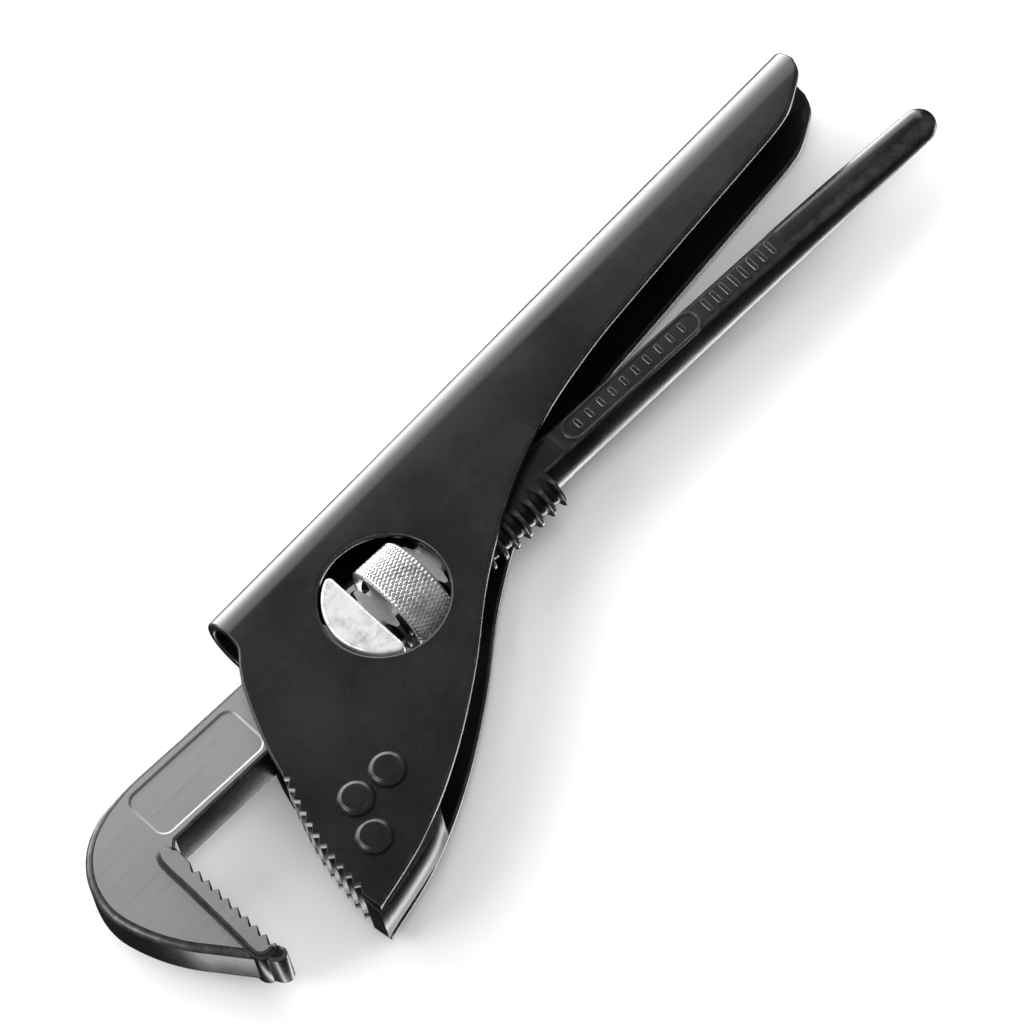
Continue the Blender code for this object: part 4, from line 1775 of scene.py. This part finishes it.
@dataclass
class Lever:
    """The lower handle: a bar with flat faces and bowed sides, which tapers and ends in a dome.

    Both faces have a shallow recess, and a raised mark of plain shapes stands in the upper one.

    Attributes:
        sections: x, middle in y, width, thickness, corner radius and draft of the sides along the bar.
        average: Length to each side over which the sections are averaged.
        recess: Where the recess starts and ends, and how deep it is.
        recess_ends: Length over which it goes down and comes up again.
        recess_slant: How much further it reaches for each millimetre up its end.
        recess_over: Height over the middle from which the recess's finish is used.
        dome_x: Where the domed end starts.
        end_x: Where it ends.
        corner_steps: Spans round each corner.
        side_steps: Steps from the middle of a side to its corner.
        frame_low: Lowest corner of the mark's long ring.
        frame_high: Highest corner of that ring.
        ring: Width of the ring's bead.
        raise_by: How far the mark stands out.
        bars: Plain bars inside the ring: how many, their first and last place, and half their height.
        ribs: Plain ribs beyond the ring, the same way.
        bar_half: Half the width of a bar or rib.
        bar_corner: Radius of its corners.
        mark_drop: How far their middles lie under the bar's.
        ring_edge: Rounding of the ring's top edges.
        bar_edge: Rounding of the bars' and ribs' top edges.
        body_rows: Rows of points along the bar.
        dome_rows: Rows of points over the dome.
        mark_depth: How thick the mark is, most of it inside the bar.
    """

    sections: tuple[tuple[float, float, float, float, float, float], ...] = (
        (44.0, 0.4, 9.4, 12.5, 0.7, 0.16), (60.0, 0.4, 8.9, 12.5, 0.7, 0.16),
        (96.0, 0.6, 8.3, 12.3, 0.8, 0.16), (126.0, 0.8, 8.4, 10.9, 1.5, 0.18),
        (144.0, 0.9, 8.5, 9.6, 2.2, 0.18), (168.0, 0.6, 8.3, 8.0, 3.0, 0.16),
        (174.9, 0.5, 8.2, 7.6, 3.2, 0.14))
    average: float = 6.0
    recess: tuple[float, float, float] = (54.6, 126.6, 0.28)
    recess_ends: tuple[float, float] = (1.6, 1.2)
    recess_slant: float = 0.35
    recess_over: float = 4.2
    dome_x: float = 170.6
    end_x: float = 174.9
    corner_steps: int = 12
    side_steps: int = 7
    frame_low: tuple[float, float] = (57.6, -3.0)
    frame_high: tuple[float, float] = (100.3, 3.5)
    ring: float = 0.62
    raise_by: float = 0.34
    bars: tuple[int, float, float, float] = (10, 62.0, 95.5, 1.55)
    ribs: tuple[int, float, float, float] = (8, 103.6, 124.0, 2.1)
    bar_half: float = 0.7
    bar_corner: float = 0.55
    mark_drop: float = 0.1
    ring_edge: float = 0.2
    bar_edge: float = 0.3
    body_rows: int = 260
    dome_rows: int = 13
    mark_depth: float = 1.1

    def sizes(self, x: np.ndarray) -> np.ndarray:
        """Middle, width, thickness, corner radius and draft at places along the bar.

        Straight between the sections, then averaged over a short length so that the bar has no kinks. The
        thickness eases down by twice the recess's depth at both ends of the recess.

        Args:
            x: Places along the bar.

        Returns:
            One row for each of the five.
        """
        table = np.array(self.sections).T
        shifts = np.linspace(-self.average, self.average, 9)[:, None]
        places = np.clip(x + shifts, table[0, 0], table[0, -1])
        values = np.stack([np.interp(places, table[0], row).mean(axis=0) for row in table[1:]])
        start, end, depth = self.recess
        down, up = self.recess_ends
        values[2] -= 2 * depth * ease((x - start) / down) * ease((end - x) / up)
        return values

    def skin(self) -> Skin:
        """The bar: a rounded rectangle with bowed sides and an elliptical end.

        At a height from the middle each side moves in by draft x 2 x height^2 / thickness, and every section
        shrinks as an ellipse over the domed end.

        Returns:
            The skin.
        """
        body = np.linspace(self.sections[0][0], self.dome_x, self.body_rows)
        turns = np.linspace(0.0, QUARTER, self.dome_rows + 1)[1:]
        dome = self.dome_x + (self.end_x - self.dome_x) * np.sin(turns)
        x = np.concatenate((body, dome))
        middle, width, thick, corner, draft = self.sizes(x)[:, :, None]
        into = np.clip((x - self.dome_x) / (self.end_x - self.dome_x), 0.0, 1.0)[:, None]
        shrink = np.sqrt(np.maximum(1 - into**2, 0.0))
        turn = QUARTER * np.linspace(0.0, 1.0, self.corner_steps + 1)
        straight = np.linspace(0.0, 1.0, self.side_steps, endpoint=False)
        lift = np.concatenate((straight, np.ones_like(turn)))
        rise = np.concatenate((np.zeros_like(straight), np.sin(turn)))
        reach = np.concatenate((np.ones_like(straight), np.cos(turn)))
        height = (thick / 2 - corner) * lift + corner * rise
        side = width / 2 - corner + corner * reach - draft * 2 * height**2 / thick
        y = np.concatenate((side, -side[:, ::-1], -side[:, 1:], side[:, :0:-1]), axis=1)
        z = np.concatenate((height, height[:, ::-1], -height[:, 1:], -height[:, :0:-1]), axis=1)
        points = np.stack((x[:, None] * np.ones_like(y), middle + y * shrink, z * shrink), axis=-1)
        # The corners' edge value brings the forging's painted highlight and wear along the bar's long edges.
        corner_share = np.concatenate((np.zeros_like(straight), np.sin(2 * turn)))
        edge = 0.5 * np.concatenate((corner_share, corner_share[::-1], corner_share[1:], corner_share[:0:-1]))
        skin = Skin()
        skin.add(points, grid_faces(*y.shape, closed=True), 0, edge)
        skin.cap(points[0])
        skin.paint(self.in_recess, 1)
        return skin

    def in_recess(self, middles: np.ndarray) -> np.ndarray:
        """Whether places on the bar lie in a recess, whose far end slants.

        Args:
            middles: The places.

        Returns:
            True for each that does.
        """
        x, y, z = middles.T
        start, end, _ = self.recess
        return (x > start) & (x < end + y * self.recess_slant) & (np.abs(z) > self.recess_over)

    def raised(self, outlines: Sequence[np.ndarray], rim: float) -> Skin:
        """A mark that stands on the upper face, following the bar's thickness.

        Args:
            outlines: The mark's outer line, then its hole.
            rim: Rounding of its top edges.

        Returns:
            The mark's skin.
        """
        lines = [Outline.plain(line) for line in outlines]
        return plate(lines, self.mark_depth / 2, Rim(rim, rim, RimShape.ROUND, 4), self.on_face)

    def on_face(self, flat: np.ndarray, height: np.ndarray) -> np.ndarray:
        """Points of a mark set on the bar's upper face, whose height is half the thickness there.

        Args:
            flat: Points of the flat mark.
            height: Their heights over its middle.

        Returns:
            The points in space.
        """
        face = self.sizes(flat[..., 0].ravel())[2].reshape(flat.shape[:-1]) / 2
        return lifted(flat, face + self.raise_by - self.mark_depth / 2 + height)

    def mark(self) -> Skin:
        """The ring, the plain bars inside it, and the row of ribs beyond it.

        Returns:
            The skin.
        """
        low, high = self.frame_low, self.frame_high
        radius = (high[1] - low[1]) / 2
        inner_low = (low[0] + self.ring, low[1] + self.ring)
        inner_high = (high[0] - self.ring, high[1] - self.ring)
        skin = self.raised([round_box(low, high, radius, 16),
                            round_box(inner_low, inner_high, radius - self.ring, 16)], self.ring_edge)
        for count, first, last, reach in (self.bars, self.ribs):
            for x in np.linspace(first, last, count):
                middle = float(self.sizes(np.array([x]))[0, 0]) - self.mark_drop
                bar = round_box((x - self.bar_half, middle - reach), (x + self.bar_half, middle + reach),
                                self.bar_corner, 4)
                skin.join(self.raised([bar], self.bar_edge))
        return skin

    def build(self, place: Place, finish: bpy.types.Material, scale: bpy.types.Material,
              marked: bpy.types.Material) -> None:
        """Make the lever's pieces.

        Args:
            place: Where they lie.
            finish: The bar's black.
            scale: The recess's black.
            marked: The raised mark's black.
        """
        make_piece("lever_bar", self.skin(), place.on_lever, [finish, scale], LEVER_ROLE)
        make_piece("lever_mark", self.mark(), place.on_lever, [marked], LEVER_ROLE)


# --------------------------------------------------------------------------------------------------------
# Studio
# --------------------------------------------------------------------------------------------------------


@dataclass(frozen=True)
class Glow:
    """A bright part of the world, full where every range is full.

    Attributes:
        ranges: Axis of the direction, where the brightness starts and where it is full.
        strength: How bright it is there.
    """

    ranges: tuple[tuple[str, float, float], ...]
    strength: float

    def level(self, nodes: Nodes, split: bpy.types.Node) -> bpy.types.NodeSocket:
        """The product of the ranges and the strength.

        Args:
            nodes: The world's nodes.
            split: Node that gives the direction's parts.

        Returns:
            The output that holds the brightness.
        """
        level = self.strength
        for axis, start, end in self.ranges:
            part = nodes.span(split.outputs[axis], (start, end), (0.0, 1.0), smooth=True)
            level = nodes.maths("MULTIPLY", part, level)
        return level


@dataclass(frozen=True)
class SoftBox:
    """A soft rectangular lamp that the camera doesn't see.

    Attributes:
        name: Name of the lamp.
        towards: Direction from the wrench to the lamp.
        distance: Metres to it.
        size: Its width and height in metres.
        power: Its power in watts.
        mirrored: Whether reflections show it.
    """

    name: str
    towards: tuple[float, float, float]
    distance: float
    size: tuple[float, float]
    power: float
    mirrored: bool = True

    def build(self, target: Vector) -> None:
        """Hang the lamp, facing the target.

        Args:
            target: Point in metres.
        """
        data = bpy.data.lights.new(self.name, "AREA")
        data.shape = "RECTANGLE"
        data.size, data.size_y = self.size
        data.energy = self.power
        lamp = add_object(self.name, data)
        away = Vector(self.towards).normalized()
        lamp.location = target + away * self.distance
        lamp.rotation_euler = away.to_track_quat("Z", "Y").to_euler()
        lamp.visible_camera = False
        lamp.visible_glossy = self.mirrored


@dataclass
class Studio:
    """Pale floor, soft light and the camera.

    Attributes:
        look_right: The camera's right, in the frame's axes.
        look_up: The camera's up.
        look_back: The direction from the wrench to the camera.
        aim: Point that the camera centres, in millimetres from the pivot.
        distance: Metres from there to the camera.
        lens: Focal length in millimetres.
        floor_size: Side of the floor in metres.
        floor_grey: Grey of the floor.
        floor_height: Height of the floor, in metres.
        sensor: Width of the camera's sensor, in millimetres.
        lit: Point that the lamps face, in millimetres from the pivot.
        backdrop: Brightness of the world where the camera sees it.
        glows: Bright parts of the world at and under the horizon, which mostly reflections reach.
        sky: Height of a direction and the world's brightness there, from straight down to straight up.
        boxes: The lamps.
    """

    look_right: tuple[float, float, float] = (0.68617, -0.71038, -0.15662)
    look_up: tuple[float, float, float] = (0.69050, 0.56832, 0.44747)
    look_back: tuple[float, float, float] = (-0.22886, -0.41519, 0.88049)
    aim: tuple[float, float, float] = (33.60, -10.28, 13.09)
    distance: float = 9.0
    lens: float = 1367.0
    floor_size: float = 12.0
    floor_grey: float = 0.86
    floor_height: float = -0.0002
    sensor: float = 36.0
    lit: tuple[float, float, float] = (20.0, 0.0, 0.0)
    backdrop: float = 0.86
    glows: tuple[Glow, ...] = (
        Glow((("X", -0.05, 0.15), ("Y", 0.72, 0.88), ("Z", -0.55, -0.38), ("Z", 0.14, 0.04)), 10.0),
        Glow((("Y", 0.02, -0.10), ("Y", -0.30, -0.17), ("Z", -0.60, -0.80)), 6.0),
    )
    sky: tuple[tuple[float, float], ...] = (
        (-1.0, 0.03), (-0.02, 0.03), (0.10, 0.18), (0.35, 0.40), (0.70, 0.24), (1.0, 0.16))
    boxes: tuple[SoftBox, ...] = (
        SoftBox("spine_box", (0.15, 0.95, 0.24), 0.9, (1.2, 0.26), 3.0),
        SoftBox("cheek_box", (0.20, 0.86, 0.47), 0.42, (1.0, 0.40), 4.0),
        SoftBox("side_box", (-0.75, 0.30, 0.60), 1.1, (0.6, 0.6), 6.0),
        SoftBox("fill_box", (0.10, -0.35, 0.93), 2.5, (3.0, 3.0), 54.0, mirrored=False),
    )

    def floor(self) -> None:
        """A plain pale floor just under the wrench."""
        half = self.floor_size / 2
        corners = np.array([(-half, -half), (half, -half), (half, half), (-half, half)])
        mesh = bpy.data.meshes.new("floor")
        mesh.from_pydata(lifted(corners, np.full(4, self.floor_height)).tolist(), [], [(0, 1, 2, 3)])
        graph = Graph("pale_floor")
        cloud = graph.noise(3.0, 3.0)
        colour = graph.blend(cloud, grey(self.floor_grey - 0.01), grey(self.floor_grey + 0.01))
        graph.put(Base_Color=colour, Roughness=graph.span(cloud, (0.3, 0.7), (0.75, 0.85)),
                  Specular_IOR_Level=0.2)
        mesh.materials.append(graph.material)
        floor = add_object("floor", mesh)
        floor.visible_glossy = False
        floor.visible_shadow = False

    def world(self) -> None:
        """A grey sky by height, with the glows in it, and a plain backdrop where the camera looks past."""
        world = bpy.data.worlds.new("studio")
        world.use_nodes = True
        bpy.context.scene.world = world
        nodes = Nodes(world.node_tree)
        split = nodes.add("ShaderNodeSeparateXYZ")
        nodes.feed(split.inputs[0], nodes.add("ShaderNodeTexCoord").outputs["Generated"])
        ramp = nodes.add("ShaderNodeValToRGB")
        nodes.feed(ramp.inputs["Fac"], nodes.span(split.outputs["Z"], (-1.0, 1.0), (0.0, 1.0)))
        stops = ramp.color_ramp.elements
        for number, (z, value) in enumerate(self.sky):
            stop = stops[number] if number < 2 else stops.new(1.0)
            stop.position = (z + 1) / 2
            stop.color = grey(value)
        level = ramp.outputs["Color"]
        for glow in self.glows:
            level = nodes.maths("ADD", level, glow.level(nodes, split))
        seen = nodes.add("ShaderNodeMix")
        nodes.feed(seen.inputs["Factor"], nodes.add("ShaderNodeLightPath").outputs["Is Camera Ray"])
        nodes.feed(seen.inputs["A"], level)
        nodes.feed(seen.inputs["B"], self.backdrop)
        background = world.node_tree.nodes["Background"]
        nodes.feed(background.inputs["Strength"], seen.outputs["Result"])
        background.inputs["Color"].default_value = grey(1.0)

    def camera(self, place: Place) -> None:
        """A long lens that looks down on the wrench from the hook's side.

        Args:
            place: Where the wrench lies.
        """
        data = bpy.data.cameras.new("camera")
        data.lens = self.lens
        data.sensor_width = self.sensor
        data.clip_start, data.clip_end = 0.1, 50.0
        camera = add_object("camera", data)
        aim = Vector(place.on_frame(np.array(self.aim)))
        axes = Matrix((self.look_right, self.look_up, self.look_back)).transposed().to_4x4()
        camera.matrix_world = Matrix.Translation(aim + Vector(self.look_back) * self.distance) @ axes
        bpy.context.scene.camera = camera

    def build(self, place: Place) -> None:
        """Set up the whole studio.

        Args:
            place: Where the wrench lies.
        """
        self.camera(place)
        self.floor()
        self.world()
        middle = Vector(place.on_frame(np.array(self.lit)))
        for box in self.boxes:
            box.build(middle)
        bpy.context.scene.view_settings.view_transform = "Standard"


def main() -> None:
    """Build the studio, then the wrench from its frame to its lever."""
    logging.basicConfig(level=logging.INFO, format="%(name)s: %(message)s")
    place = Place.from_joints(frame["joints"])
    Studio().build(place)
    enamel = BlackEnamel().make()
    forging = BlackForging().make()
    scale = BlackForging(name="black_scale", smooth=0.34, dull=0.5, shine=0.25, wear_and_highlight=0.2).make()
    # The jaw's chamfer borders and the raised mark's edges get painted highlight and wear from their edge
    # value.
    jaw_black = BlackForging(name="jaw_black", smooth=0.24, dull=0.36, wear_and_highlight=0.2).make()
    mark_black = BlackForging(name="mark_black", smooth=0.18, dull=0.30, wear_and_highlight=0.8).make()
    ground = GroundSteel().make()
    zinc = BrightZinc().make()
    nut_zinc = BrightZinc(name="nut_zinc", light=0.80, dark=0.42, pitting=0.15, metal=0.85).make()
    folded = FoldedFrame()
    folded.build(place, enamel)
    FixedJaw(folded).build(place, jaw_black)
    Rivets().build(place, enamel)
    PivotBlock().build(place, zinc)
    thread = Thread()
    Nut(thread).build(place, nut_zinc)
    Hook().build(place, ground, forging)
    Screw(thread).build(place, ground, forging)
    Lever().build(place, forging, scale, mark_black)


if __name__ == "__main__":
    main()
